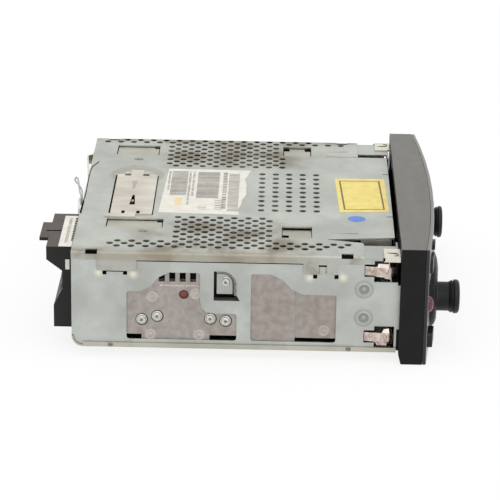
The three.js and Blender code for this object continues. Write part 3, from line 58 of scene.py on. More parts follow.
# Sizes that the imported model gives, in millimetres from the chassis's front, middle and underside
COVER_LOW, COVER_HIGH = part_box("top_cover")
DEPTH = 160
HEIGHT = 50
HALF = COVER_HIGH.x / MM
ORIGIN = Vector((0, COVER_HIGH.y - DEPTH * MM, COVER_HIGH.z - HEIGHT * MM))
SHEET = 0.8
WALL = 88.1
SINK = 87.2
FOLD = 1.2
BOW_RADIUS = 771.98
BOW_CENTRE = 751.93

# Pressed rings and pale round spots of the side walls, along the depth and up, in millimetres. The rings are relief and
# also take painted light and shade round them
RINGS = [(16.7, 32.7), (16.6, 17.8)]
SPOTS = [(129.6, 38.2), (146.6, 38.8), (43.4, 38.2), (27.2, 38.6)]

# Stains of the cover: where their middle lies along the frame's Y and how coarse they are, in millimetres, and how
# dark they are at most
STAIN_MIDDLE = 14
STAIN_GRAIN = 17
STAIN_DEPTH = 0.85

# Middle of the painted shade round the pressed arch
ARCH_SHADE_CENTRE = (27, 134.3)

# Sockets of the Mix node when it mixes colours
FACTOR, UNDER, OVER, MIXED = 0, 6, 7, 2

# Finishes and geometry trees by name, filled once by the operator that makes them
FINISHES = {}
TREES = {}


def linear(colour):
    """An sRGB hex colour as the linear colour that a shader takes"""
    parts = [int(colour[i:i + 2], 16) / 255 for i in (1, 3, 5)]
    return [p / 12.92 if p <= 0.04045 else ((p + 0.055) / 1.055) ** 2.4 for p in parts] + [1]


def add(tree, kind, inputs=None, **settings):
    """Adds a node with its settings, and gives each named input its value or its link"""
    made = tree.nodes.new(kind)
    for key, value in settings.items():
        setattr(made, key, value)
    for key, value in (inputs or {}).items():
        if isinstance(value, bpy.types.NodeSocket):
            tree.links.new(value, made.inputs[key])
        else:
            made.inputs[key].default_value = value
    return made


def at(x, y, z):
    """A point of the chassis, in millimetres, as a point of the frame"""
    return ORIGIN + Vector((x, y, z)) * MM


def front_at(x):
    """How far forward the curved front stands at a place across it, in millimetres"""
    return BOW_CENTRE - math.sqrt(BOW_RADIUS ** 2 - x ** 2)


def measured(corners):
    """Corners of the frame as points of the chassis, in millimetres"""
    return [(corner - ORIGIN) / MM for corner in corners]


def rectangle(near, far, front, rear):
    """The corners of an upright rectangle, one after the other"""
    return [(near, front), (far, front), (far, rear), (near, rear)]


def placed(name, data):
    """A new object in the scene"""
    made = bpy.data.objects.new(name, data)
    bpy.context.scene.collection.objects.link(made)
    return made


def meshed(name, curve):
    """The mesh that a curve or a text makes"""
    holder = placed(name, curve)
    bpy.context.view_layer.update()
    mesh = bpy.data.meshes.new_from_object(holder)
    bpy.data.objects.remove(holder)
    return mesh


def cleared(owner):
    """The empty node tree of a new material or world"""
    owner.use_nodes = True
    owner.node_tree.nodes.clear()
    return owner.node_tree


def settle(name, made, finish, body="radio", smooth=None):
    """Makes a mesh, or several as one, a piece with its finish that rides on its body"""
    mesh = joined(name, made) if isinstance(made, list) else made
    piece = placed(name, mesh)
    if finish is not None:
        mesh.materials.clear()
        mesh.materials.append(FINISHES[finish])
    if smooth is not None:
        mesh.shade_smooth()
        mesh.set_sharp_from_angle(angle=math.radians(smooth))
    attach(piece, body)
    return piece


def joined(name, meshes):
    """Several meshes as one, closed and with its faces outwards"""
    shape = bmesh.new()
    for mesh in meshes:
        shape.from_mesh(mesh)
    bmesh.ops.remove_doubles(shape, verts=shape.verts, dist=1e-6)
    bmesh.ops.recalc_face_normals(shape, faces=shape.faces)
    whole = bpy.data.meshes.new(name)
    shape.to_mesh(whole)
    shape.free()
    for mesh in meshes:
        bpy.data.meshes.remove(mesh)
    return whole


def solid(name, points, faces):
    """A closed mesh from points in millimetres on the chassis"""
    mesh = bpy.data.meshes.new(name)
    mesh.from_pydata([at(*p) for p in points], [], faces)
    return joined(name, [mesh])


def prism_faces(count):
    """Faces of a body between two like outlines of some corners: its two ends, then its sides"""
    ends = [list(range(count)), list(range(count, 2 * count))]
    return ends + [[i, (i + 1) % count, count + (i + 1) % count, count + i] for i in range(count)]


def shell_faces(steps, width):
    """Faces of a closed shell whose two skins are grids of points, one skin after the other"""
    count = (steps + 1) * width
    faces = []
    for base in (0, count):
        for i in range(steps):
            for j in range(width - 1):
                a = base + i * width + j
                faces.append([a, a + 1, a + width + 1, a + width])
    for i in range(steps):
        for j in (0, width - 1):
            a = i * width + j
            faces.append([a, a + width, count + a + width, count + a])
    for j in range(width - 1):
        for i in (0, steps):
            a = i * width + j
            faces.append([a, a + 1, count + a + 1, count + a])
    return faces


def prism(name, outline, axis, low, high):
    """A flat outline drawn out along X, Y or Z from low to high"""
    order = {"x": lambda a, b, t: (t, a, b), "y": lambda a, b, t: (a, t, b), "z": lambda a, b, t: (a, b, t)}[axis]
    points = [order(a, b, t) for t in (low, high) for a, b in outline]
    return solid(name, points, prism_faces(len(outline)))


def turned(name, profile, centre, outwards, sides=48, stretch=(1, 1), star=None):
    """A round body from (radius, height) points, its height along the outward direction. A star gives the radius at
    each turn where the profile's own is below zero"""
    out = Vector(outwards)
    across = Vector((0, 0, 1)) if abs(out.z) < 0.5 else Vector((0, 1, 0))
    along = out.cross(across)
    rows = []
    points = []
    for radius, height in profile:
        if radius == 0:
            rows.append([len(points)])
            points.append(Vector(centre) + out * height)
            continue
        rows.append(list(range(len(points), len(points) + sides)))
        for i in range(sides):
            turn = TAU * i / sides
            reach = radius if radius > 0 else star(turn)
            points.append(
                Vector(centre) + out * height
                + across * (reach * stretch[0] * math.cos(turn)) + along * (reach * stretch[1] * math.sin(turn))
            )
    faces = []
    for lower, upper in zip(rows, rows[1:]):
        for i in range(sides):
            ends = [i, (i + 1) % sides]
            low = [lower[e] for e in ends] if len(lower) > 1 else [lower[0]]
            high = [upper[e] for e in reversed(ends)] if len(upper) > 1 else [upper[0]]
            if len(low) + len(high) > 2:
                faces.append(low + high)
    return solid(name, [tuple(p) for p in points], faces)


def wire(name, points, radius):
    """Round wire along a smooth path through points on the chassis"""
    curve = bpy.data.curves.new(name, "CURVE")
    curve.dimensions = "3D"
    curve.bevel_depth = radius * MM
    curve.bevel_resolution = 2
    curve.use_fill_caps = True
    curve.resolution_u = 8
    path = curve.splines.new("BEZIER")
    path.bezier_points.add(len(points) - 1)
    for knot, place in zip(path.bezier_points, points):
        knot.co = at(*place)
        knot.handle_left_type = knot.handle_right_type = "AUTO"
    return joined(name, [meshed(name, curve)])


def ridge(name, centre, inner, outer, start_at, end_at, rise, level):
    """A ridge pressed up from flat sheet along an elliptical arc between two half axes"""
    steps, lanes = 40, 6
    points = []
    for i in range(steps + 1):
        turn = math.radians(start_at + (end_at - start_at) * i / steps)
        for j in range(lanes + 1):
            share = j / lanes
            a, b = [low + (high - low) * share for low, high in zip(inner, outer)]
            height = rise * math.sin(math.pi * share) * min(1, 6 * i / steps, 6 - 6 * i / steps)
            points.append((centre[0] + a * math.cos(turn), centre[1] + b * math.sin(turn), level + height))
    points += [(x, y, level - 0.1) for x, y, z in points]
    return solid(name, points, shell_faces(steps, lanes + 1))


def grown(name, tree, base, sizes):
    """The mesh that a tree of geometry nodes makes, with the named sizes that it is given"""
    holder = placed(name, base)
    modifier = holder.modifiers.new(tree.name, "NODES")
    modifier.node_group = tree
    sockets = {item.name: item.identifier for item in tree.interface.items_tree if item.in_out == "INPUT"}
    for label, value in sizes.items():
        modifier[sockets[label]] = value
    holder.update_tag()
    seen = bpy.context.evaluated_depsgraph_get()
    mesh = bpy.data.meshes.new_from_object(holder.evaluated_get(seen), depsgraph=seen)
    holder.modifiers.clear()
    bpy.data.objects.remove(holder)
    if not mesh.polygons:
        raise RuntimeError(f"{name} came out empty")
    return mesh


def new_tree(name, sizes):
    """An empty geometry tree with its geometry input and output and its named sizes"""
    tree = bpy.data.node_groups.new(name, "GeometryNodeTree")
    tree.interface.new_socket("Geometry", in_out="INPUT", socket_type="NodeSocketGeometry")
    for label, kind, value in sizes:
        socket = tree.interface.new_socket(label, in_out="INPUT", socket_type=kind)
        if value is not None:
            socket.default_value = value
    tree.interface.new_socket("Geometry", in_out="OUTPUT", socket_type="NodeSocketGeometry")
    return tree, add(tree, "NodeGroupInput")


def finish_tree(tree, geometry, finish):
    """Ends a tree in Realize Instances and Set Material"""
    real = add(tree, "GeometryNodeRealizeInstances", {"Geometry": geometry})
    painted = add(tree, "GeometryNodeSetMaterial", {"Geometry": real.outputs[0], "Material": finish})
    add(tree, "NodeGroupOutput", {"Geometry": painted.outputs[0]})
    return tree


def punched_sheet_tree():
    """Flat sheet from wire outlines, with a round hole punched at each marked point"""
    tree, given = new_tree("Punched sheet", [
        ("Hole diameter", "NodeSocketFloat", 3.5),
        ("Hole sides", "NodeSocketInt", 16),
        ("Thickness", "NodeSocketFloat", SHEET),
        ("Finish", "NodeSocketMaterial", None),
    ])
    wires = add(tree, "GeometryNodeMeshToCurve", {"Mesh": given.outputs["Geometry"]})
    marked = add(tree, "GeometryNodeInputNamedAttribute", {"Name": "hole"}, data_type="BOOLEAN")
    radius = add(tree, "ShaderNodeMath", {0: given.outputs["Hole diameter"], 1: 0.5}, operation="MULTIPLY")
    ring = add(tree, "GeometryNodeCurvePrimitiveCircle", {
        "Resolution": given.outputs["Hole sides"], "Radius": radius.outputs[0]})
    holes = add(tree, "GeometryNodeInstanceOnPoints", {
        "Points": given.outputs["Geometry"], "Selection": marked.outputs[0], "Instance": ring.outputs[0]})
    rings = add(tree, "GeometryNodeRealizeInstances", {"Geometry": holes.outputs[0]})
    lines = add(tree, "GeometryNodeJoinGeometry")
    for source in (wires.outputs[0], rings.outputs[0]):
        tree.links.new(source, lines.inputs[0])
    face = add(tree, "GeometryNodeFillCurve", {0: lines.outputs[0]})
    raised = add(tree, "GeometryNodeExtrudeMesh", {
        "Mesh": face.outputs[0], "Offset Scale": given.outputs["Thickness"], "Individual": False})
    under = add(tree, "GeometryNodeFlipFaces", {"Mesh": face.outputs[0]})
    both = add(tree, "GeometryNodeJoinGeometry")
    for source in (raised.outputs[0], under.outputs[0]):
        tree.links.new(source, both.inputs[0])
    closed = add(tree, "GeometryNodeMergeByDistance", {"Geometry": both.outputs[0], "Distance": 0.001})
    return finish_tree(tree, closed.outputs[0], given.outputs["Finish"])


def scattered_tree():
    """One copy of a piece on each point, turned by the point's own angles"""
    tree, given = new_tree("Copies on points", [
        ("Piece", "NodeSocketObject", None),
        ("Finish", "NodeSocketMaterial", None),
    ])
    piece = add(tree, "GeometryNodeObjectInfo", {"Object": given.outputs["Piece"]})
    turn = add(tree, "GeometryNodeInputNamedAttribute", {"Name": "turn"}, data_type="FLOAT_VECTOR")
    copies = add(tree, "GeometryNodeInstanceOnPoints", {
        "Points": given.outputs["Geometry"], "Instance": piece.outputs["Geometry"], "Rotation": turn.outputs[0]})
    return finish_tree(tree, copies.outputs[0], given.outputs["Finish"])


def bars_tree():
    """A row of printed bars of varying width"""
    tree, given = new_tree("Printed bars", [
        ("Count", "NodeSocketInt", 20),
        ("Pitch", "NodeSocketFloat", 1.0),
        ("Length", "NodeSocketFloat", 10.0),
        ("Least width", "NodeSocketFloat", 0.3),
        ("Most width", "NodeSocketFloat", 0.7),
        ("Thickness", "NodeSocketFloat", 0.05),
        ("Seed", "NodeSocketInt", 3),
        ("Finish", "NodeSocketMaterial", None),
    ])
    step = add(tree, "ShaderNodeCombineXYZ", {"X": given.outputs["Pitch"]})
    line = add(tree, "GeometryNodeMeshLine", {"Count": given.outputs["Count"], "Offset": step.outputs[0]})
    size = add(tree, "ShaderNodeCombineXYZ", {
        "X": 1.0, "Y": given.outputs["Length"], "Z": given.outputs["Thickness"]})
    bar = add(tree, "GeometryNodeMeshCube", {"Size": size.outputs[0]})
    width = add(tree, "FunctionNodeRandomValue", {
        "Seed": given.outputs["Seed"], 2: given.outputs["Least width"], 3: given.outputs["Most width"]},
        data_type="FLOAT")
    scale = add(tree, "ShaderNodeCombineXYZ", {"X": width.outputs[1], "Y": 1.0, "Z": 1.0})
    bars = add(tree, "GeometryNodeInstanceOnPoints", {
        "Points": line.outputs[0], "Instance": bar.outputs[0], "Scale": scale.outputs[0]})
    return finish_tree(tree, bars.outputs[0], given.outputs["Finish"])


# How a flat sheet lies: its own two directions and its thickness, as directions on the chassis
LYING = Matrix(((1, 0, 0), (0, 1, 0), (0, 0, 1))).to_4x4()
UPRIGHT = Matrix(((0, 0, 1), (1, 0, 0), (0, 1, 0))).to_4x4()


def sheet(name, outlines, holes, thickness, stand, place, finish, diameter=3.5, sides=16):
    """A flat sheet with its outlines and round holes, in millimetres, standing at a place on the chassis"""
    points = []
    edges = []
    for outline in outlines:
        first = len(points)
        points += [(a, b, 0) for a, b in outline]
        edges += [(first + i, first + (i + 1) % len(outline)) for i in range(len(outline))]
    drawn = len(points)
    points += [(a, b, 0) for a, b in holes]
    lines = bpy.data.meshes.new(name)
    lines.from_pydata(points, edges, [])
    marks = lines.attributes.new("hole", "BOOLEAN", "POINT")
    marks.data.foreach_set("value", [i >= drawn for i in range(len(points))])
    mesh = grown(name, TREES["sheet"], lines, {
        "Hole diameter": diameter, "Hole sides": sides, "Thickness": thickness, "Finish": FINISHES[finish]})
    mesh.transform(Matrix.Translation(at(*place)) @ Matrix.Scale(MM, 4) @ stand)
    return mesh


def copies(name, template, spots, finish):
    """Copies of a mesh at spots, each a place on the chassis and the angles that turn it"""
    holder = placed(name + "_template", template)
    base = bpy.data.meshes.new(name)
    base.from_pydata([at(*place) for place, turn in spots], [], [])
    turns = base.attributes.new("turn", "FLOAT_VECTOR", "POINT")
    turns.data.foreach_set("vector", [angle for place, turn in spots for angle in turn])
    mesh = grown(name, TREES["copies"], base, {"Piece": holder, "Finish": FINISHES[finish]})
    bpy.data.objects.remove(holder)
    return mesh


def start(name, metallic, roughness, **sockets):
    """A material with its shader and the place on the piece that its patterns read"""
    FINISHES[name] = bpy.data.materials.new(name)
    tree = cleared(FINISHES[name])
    shader = add(tree, "ShaderNodeBsdfPrincipled", {"Metallic": metallic, "Roughness": roughness})
    for key, value in sockets.items():
        shader.inputs[key.replace("_", " ")].default_value = value
    add(tree, "ShaderNodeOutputMaterial", {"Surface": shader.outputs[0]})
    return tree, shader, add(tree, "ShaderNodeTexCoord").outputs["Object"]


def mottled(tree, place, grain, shade, tint, low=0.35, high=0.65, detail=4, stretch=None):
    """A tone that wanders between two colours, with its noise"""
    if stretch:
        place = add(tree, "ShaderNodeMapping", {"Vector": place, "Scale": stretch}).outputs[0]
    noise = add(tree, "ShaderNodeTexNoise", {"Vector": place, "Scale": 1 / (grain * MM), "Detail": detail})
    spread = add(tree, "ShaderNodeMapRange", {"Value": noise.outputs[0], "From Min": low, "From Max": high})
    tone = add(tree, "ShaderNodeMix", {
        FACTOR: spread.outputs[0], UNDER: linear(shade), OVER: linear(tint)}, data_type="RGBA")
    return tone.outputs[MIXED], noise.outputs[0]


def coloured(tree, shader, tone, noise, low, high):
    """The finished tone, and a roughness that follows a noise"""
    tree.links.new(tone, shader.inputs["Base Color"])
    spread = add(tree, "ShaderNodeMapRange", {
        "Value": noise, "From Min": 0.3, "From Max": 0.7, "To Min": low, "To Max": high})
    tree.links.new(spread.outputs[0], shader.inputs["Roughness"])


def bumped(tree, shader, height, depth, strength=0.5):
    """Fine relief of a depth in millimetres"""
    bump = add(tree, "ShaderNodeBump", {"Height": height, "Distance": depth * MM, "Strength": strength})
    tree.links.new(bump.outputs[0], shader.inputs["Normal"])


def dusted(tree, place, tone, dust_and_sheen_tone):
    """A pale film on the faces that look up, partly settled dust and partly painted sheen of the lit tops, a little
    thinner in streaks
    """
    facing = add(tree, "ShaderNodeTexCoord").outputs["Normal"]
    upward = add(tree, "ShaderNodeSeparateXYZ", {"Vector": facing}).outputs["Z"]
    level = add(tree, "ShaderNodeMapRange", {"Value": upward, "From Min": 0.55, "From Max": 0.95})
    drawn = add(tree, "ShaderNodeMapping", {"Vector": place, "Scale": (1, 6, 1)})
    streaks = add(tree, "ShaderNodeTexNoise", {"Vector": drawn.outputs[0], "Scale": 1 / (30 * MM), "Detail": 4})
    thin = add(tree, "ShaderNodeMapRange", {"Value": streaks.outputs[0], "To Min": 0.75, "To Max": 1.0})
    share = add(tree, "ShaderNodeMath", {0: level.outputs[0], 1: thin.outputs[0]}, operation="MULTIPLY")
    mixed = add(tree, "ShaderNodeMix", {
        FACTOR: share.outputs[0], UNDER: tone, OVER: linear(dust_and_sheen_tone)}, data_type="RGBA")
    return mixed.outputs[MIXED]


def round_marks(tree, place, tone, centres, stops, colour):
    """Marks round each centre: how much of their colour shows at each distance in millimetres"""
    nearest = None
    for centre in centres:
        away = add(tree, "ShaderNodeVectorMath", {0: place, 1: centre}, operation="DISTANCE").outputs["Value"]
        nearest = away if nearest is None else add(
            tree, "ShaderNodeMath", {0: nearest, 1: away}, operation="MINIMUM").outputs[0]
    reach = stops[-1][0]
    level = add(tree, "ShaderNodeMath", {0: nearest, 1: reach * MM}, operation="DIVIDE")
    ramp = add(tree, "ShaderNodeValToRGB", {0: level.outputs[0]})
    marks = ramp.color_ramp.elements
    for i, (distance, share) in enumerate(stops):
        mark = marks[0] if i == 0 else marks[-1] if distance == reach else marks.new(distance / reach)
        mark.color = (share, share, share, 1)
    mixed = add(tree, "ShaderNodeMix", {
        FACTOR: ramp.outputs[0], UNDER: tone, OVER: linear(colour)}, data_type="RGBA")
    return mixed.outputs[MIXED]


def worn_edges(tree, tone, edge_highlight):
    """Painted highlight: the moulded edges made pale where the front turns into its sides"""
    facing = add(tree, "ShaderNodeTexCoord").outputs["Normal"]
    forward = add(tree, "ShaderNodeSeparateXYZ", {"Vector": facing}).outputs["Y"]
    forward = add(tree, "ShaderNodeMath", {0: forward, 1: 0.0}, operation="MINIMUM").outputs[0]
    square = add(tree, "ShaderNodeMath", {0: forward, 1: forward}, operation="MULTIPLY")
    rest = add(tree, "ShaderNodeMath", {0: 1.0, 1: square.outputs[0]}, operation="SUBTRACT")
    both = add(tree, "ShaderNodeMath", {0: square.outputs[0], 1: rest.outputs[0]}, operation="MULTIPLY")
    share = add(tree, "ShaderNodeMapRange", {"Value": both.outputs[0], "From Min": 0.08, "From Max": 0.2})
    mixed = add(tree, "ShaderNodeMix", {
        FACTOR: share.outputs[0], UNDER: tone, OVER: linear(edge_highlight)}, data_type="RGBA")
    return mixed.outputs[MIXED]


def browned(tree, place, tone):
    """Brown stains of dust and heat round the side fields and the folds, a warm upright flange, and painted shade
    round the pressed arch"""
    axes = add(tree, "ShaderNodeSeparateXYZ", {"Vector": place}).outputs
    side = add(tree, "ShaderNodeMath", {0: axes["X"]}, operation="ABSOLUTE").outputs[0]
    along = add(tree, "ShaderNodeMath", {0: axes["Y"], 1: STAIN_MIDDLE * MM}, operation="SUBTRACT").outputs[0]
    along = add(tree, "ShaderNodeMath", {0: along}, operation="ABSOLUTE").outputs[0]
    # What each share reads, from where to where it runs in millimetres, and its value before and after
    spans = {
        "field": (side, 0, 34, 50, 0.0, 1.0, "SMOOTHSTEP"),
        "middle": (along, 0, 26, 52, 1.0, 0.12, "SMOOTHSTEP"),
        "fold": (side, 0, 80, 87.5, 0.0, 1.0, "LINEAR"),
        "edge": (side, 0, 86, 88, 0.0, 0.6, "LINEAR"),
        "length": (axes["Y"], ORIGIN.y, 38, 56, 0.0, 1.0, "SMOOTHSTEP"),
        "end": (axes["Y"], ORIGIN.y, 144, 152, 1.0, 0.2, "SMOOTHSTEP"),
        "upper": (axes["Z"], ORIGIN.z, 44.5, 46.5, 0.0, 1.0, "LINEAR"),
    }
    share = {
        key: add(tree, "ShaderNodeMapRange", {
            "Value": value, "From Min": base + low * MM, "From Max": base + high * MM,
            "To Min": before, "To Max": after}, interpolation_type=blend).outputs[0]
        for key, (value, base, low, high, before, after, blend) in spans.items()
    }
    region = add(tree, "ShaderNodeMath", {0: share["field"], 1: share["middle"]}, operation="MULTIPLY").outputs[0]
    region = add(tree, "ShaderNodeMath", {0: region, 1: share["fold"]}, operation="MAXIMUM").outputs[0]
    blot = add(tree, "ShaderNodeTexNoise", {"Vector": place, "Scale": 1 / (STAIN_GRAIN * MM), "Detail": 5}).outputs[0]
    stain = add(tree, "ShaderNodeMapRange", {
        "Value": blot, "From Min": 0.42, "From Max": 0.66, "To Min": 0.18}, interpolation_type="SMOOTHSTEP").outputs[0]
    for factor in (region, STAIN_DEPTH):
        stain = add(tree, "ShaderNodeMath", {0: stain, 1: factor}, operation="MULTIPLY").outputs[0]
    edge = share["edge"]
    for key in ("length", "end", "upper"):
        edge = add(tree, "ShaderNodeMath", {0: edge, 1: share[key]}, operation="MULTIPLY").outputs[0]
    for amount, colour in ((stain, "#857B6B"), (edge, "#A59D8B")):
        tone = add(tree, "ShaderNodeMix", {
            FACTOR: amount, UNDER: tone, OVER: linear(colour)}, data_type="RGBA").outputs[MIXED]
    # Painted shade: darker rings round the pressed arch, where its slopes would lie in shade
    return round_marks(tree, place, tone, [at(*ARCH_SHADE_CENTRE, HEIGHT)], [
        (0, 0), (8.5, 0.15), (10, 0.5), (11.5, 0.3), (13, 0.5), (15.5, 0)], "#9A907D")


def darkened_inside(tree, place, tone, colour):
    """Painted shade on the inner faces behind the walls and on the front wall by the fascia, painted light and shade
    round the pressed rings, and pale round spots on the walls
    """
    axes = add(tree, "ShaderNodeSeparateXYZ", {"Vector": place}).outputs
    side = add(tree, "ShaderNodeMath", {0: axes["X"]}, operation="ABSOLUTE").outputs[0]
    # What each mask reads and the limit in metres that it stays under
    limits = {
        "within": (side, (WALL - 3.1) * MM),
        "below": (axes["Z"], ORIGIN.z + (HEIGHT - 1.7) * MM),
        "before": (axes["Y"], ORIGIN.y + (DEPTH - 0.4) * MM),
        "ahead": (axes["Y"], ORIGIN.y + 2.9 * MM),
        "under": (side, (WALL - 0.1) * MM),
    }
    mask = {
        key: add(tree, "ShaderNodeMath", {0: value, 1: limit}, operation="LESS_THAN").outputs[0]
        for key, (value, limit) in limits.items()
    }
    parts = []
    for first, *others in (("within", "below", "before"), ("ahead", "below", "under")):
        part = mask[first]
        for key in others:
            part = add(tree, "ShaderNodeMath", {0: part, 1: mask[key]}, operation="MULTIPLY").outputs[0]
        parts.append(part)
    inner = add(tree, "ShaderNodeMath", {0: parts[0], 1: parts[1]}, operation="MAXIMUM")
    # Painted shade on the inner faces and on the front wall's edge by the fascia
    tone = add(tree, "ShaderNodeMix", {
        FACTOR: inner.outputs[0], UNDER: tone, OVER: linear(colour)}, data_type="RGBA").outputs[MIXED]
    # Painted light and shade round the pressed rings, then the pale round spots
    for centres, stops, mark in (
        (RINGS, [
            (0, 0.15), (0.6, 0.3), (1.4, 0.75), (2.3, 0.8), (2.9, 0.12), (3.4, 0.1), (3.9, 0.42), (4.4, 0.4),
            (5.2, 0)], "#7F827E"),
        (SPOTS, [(0, 0.9), (0.8, 0.75), (2.0, 0.25), (3.2, 0)], "#E9E6D2"),
    ):
        centres = [at(side * WALL, y, z) for side in (-1, 1) for y, z in centres]
        tone = round_marks(tree, place, tone, centres, stops, mark)
    return tone


def galvanised_steel(name, light, dark, stained=False, inside=None):
    """Hot-dip galvanised sheet, rolled and passivated: pale zinc with soft spangle and faint rolling lines along the
    sheet. Where asked, it has brown staining round the perforations and folds with painted shade round the pressed
    arch, or painted shade on the inner faces with painted light and shade round the pressed rings and pale round spots"""
    tree, shader, place = start(name, 1.0, 0.5)
    tone, haze = mottled(tree, place, 22, dark, light)
    spangle = add(tree, "ShaderNodeTexVoronoi", {"Vector": place, "Scale": 1 / (5 * MM)})
    flake = add(tree, "ShaderNodeMapRange", {
        "Value": spangle.outputs["Color"], "To Min": 0.0, "To Max": 0.16})
    tone = add(tree, "ShaderNodeMix", {
        FACTOR: flake.outputs[0], UNDER: tone, OVER: linear("#8F9693")}, data_type="RGBA").outputs[MIXED]
    if stained:
        tone = browned(tree, place, tone)
    if inside:
        tone = darkened_inside(tree, place, tone, inside)
    coloured(tree, shader, tone, haze, 0.42, 0.58)
    lines = add(tree, "ShaderNodeMapping", {"Vector": place, "Scale": (30, 1, 30)})
    rolled = add(tree, "ShaderNodeTexNoise", {"Vector": lines.outputs[0], "Scale": 1 / (20 * MM), "Detail": 2})
    bumped(tree, shader, rolled.outputs[0], 0.03, 0.4)


def plated_spring_steel():
    """Nickel-plated spring steel, rolled and tumbled: warm, brighter than the zinc, with fine streaks"""
    tree, shader, place = start("plated_spring_steel", 1.0, 0.4)
    tone, streak = mottled(tree, place, 14, "#C6BDAF", "#DFDBD0", stretch=(1, 0.5, 1))
    coloured(tree, shader, tone, streak, 0.36, 0.46)
    bumped(tree, shader, streak, 0.02, 0.2)


def die_cast_aluminium(name="die_cast_aluminium", shade="#A1978F", tint="#AFAAA6"):
    """Die-cast aluminium, shot-blasted after casting: a pinkish grey matt skin with blotches of flow"""
    tree, shader, place = start(name, 1.0, 0.6)
    tone, flow = mottled(tree, place, 26, shade, tint)
    grit, fine = mottled(tree, place, 3.5, "#8A817B", "#BFB8B2")
    tone = add(tree, "ShaderNodeMix", {FACTOR: 0.3, UNDER: tone, OVER: grit}, data_type="RGBA")
    coloured(tree, shader, tone.outputs[MIXED], flow, 0.52, 0.62)
    bumped(tree, shader, fine, 0.03, 0.3)


def phosphor_bronze(colour):
    """Phosphor bronze strip, stamped and formed: coppery, glossy, with brighter worn crowns"""
    tree, shader, place = start("phosphor_bronze", 1.0, 0.3)
    tone, wear = mottled(tree, place, 2.5, "#AE9E94", colour)
    coloured(tree, shader, tone, wear, 0.24, 0.4)
    bumped(tree, shader, wear, 0.02)


def zinc_plate(name="zinc_plate", dark="#B9B9B4", light="#DCDCD6"):
    """Bright zinc plating over turned or stamped steel: silvery with fine turning marks"""
    tree, shader, place = start(name, 1.0, 0.3)
    tone, marks = mottled(tree, place, 1, dark, light)
    coloured(tree, shader, tone, marks, 0.24, 0.4)
    bumped(tree, shader, marks, 0.01)


def moulded_plastic(name, dark, light, roughness, grain=0.6, depth=0.02, dust_and_sheen_tone=None, edge_highlight=None, gloss=0.5):
    """Injection-moulded plastic from a spark-eroded tool: an even, fine grain that breaks up the highlights"""
    tree, shader, place = start(name, 0.0, roughness, IOR=1.53, Specular_IOR_Level=gloss)
    tone, skin = mottled(tree, place, grain * 12, dark, light)
    # Where asked, a pale film on the upward faces: partly dust, partly painted sheen of the lit tops
    if dust_and_sheen_tone:
        tone = dusted(tree, place, tone, dust_and_sheen_tone)
    # Where asked, painted highlights on the edges where the front turns into its sides
    if edge_highlight:
        tone = worn_edges(tree, tone, edge_highlight)
    coloured(tree, shader, tone, skin, roughness - 0.05, roughness + 0.05)
    fine = add(tree, "ShaderNodeTexNoise", {"Vector": place, "Scale": 1 / (grain * MM), "Detail": 2})
    bumped(tree, shader, fine.outputs[0], depth)


def clear_plastic(name, dark, light, roughness=0.08):
    """Polished acrylic, tinted in the mass: a dark depth under a sharp reflection"""
    tree, shader, place = start(name, 0.0, roughness, IOR=1.49, Coat_Weight=0.6, Coat_Roughness=0.04)
    tone, haze = mottled(tree, place, 9, dark, light)
    coloured(tree, shader, tone, haze, roughness, roughness + 0.08)


def circuit_board():
    """Glass-fibre board under green solder mask: a glossy green with paler runs of copper beneath"""
    tree, shader, place = start("solder_mask", 0.0, 0.35, Specular_IOR_Level=0.5)
    tone, weave = mottled(tree, place, 8, "#1E4A33", "#2B6144")
    runs = add(tree, "ShaderNodeTexBrick", {
        "Vector": place, "Scale": 1 / (9 * MM), "Mortar Size": 0.06, "Color1": linear("#000000"),
        "Color2": linear("#000000"), "Mortar": linear("#FFFFFF")})
    tone = add(tree, "ShaderNodeMix", {
        FACTOR: runs.outputs["Color"], UNDER: tone, OVER: linear("#4C8560")}, data_type="RGBA")
    tree.links.new(tone.outputs[MIXED], shader.inputs["Base Color"])
    bumped(tree, shader, weave, 0.03)


def label_paper(name, dark, light, grain=5):
    """Coated label stock, aged: slightly glossy, faintly yellowed in patches"""
    tree, shader, place = start(name, 0.0, 0.5)
    tone, age = mottled(tree, place, grain, dark, light)
    coloured(tree, shader, tone, age, 0.42, 0.6)
    bumped(tree, shader, age, 0.03)


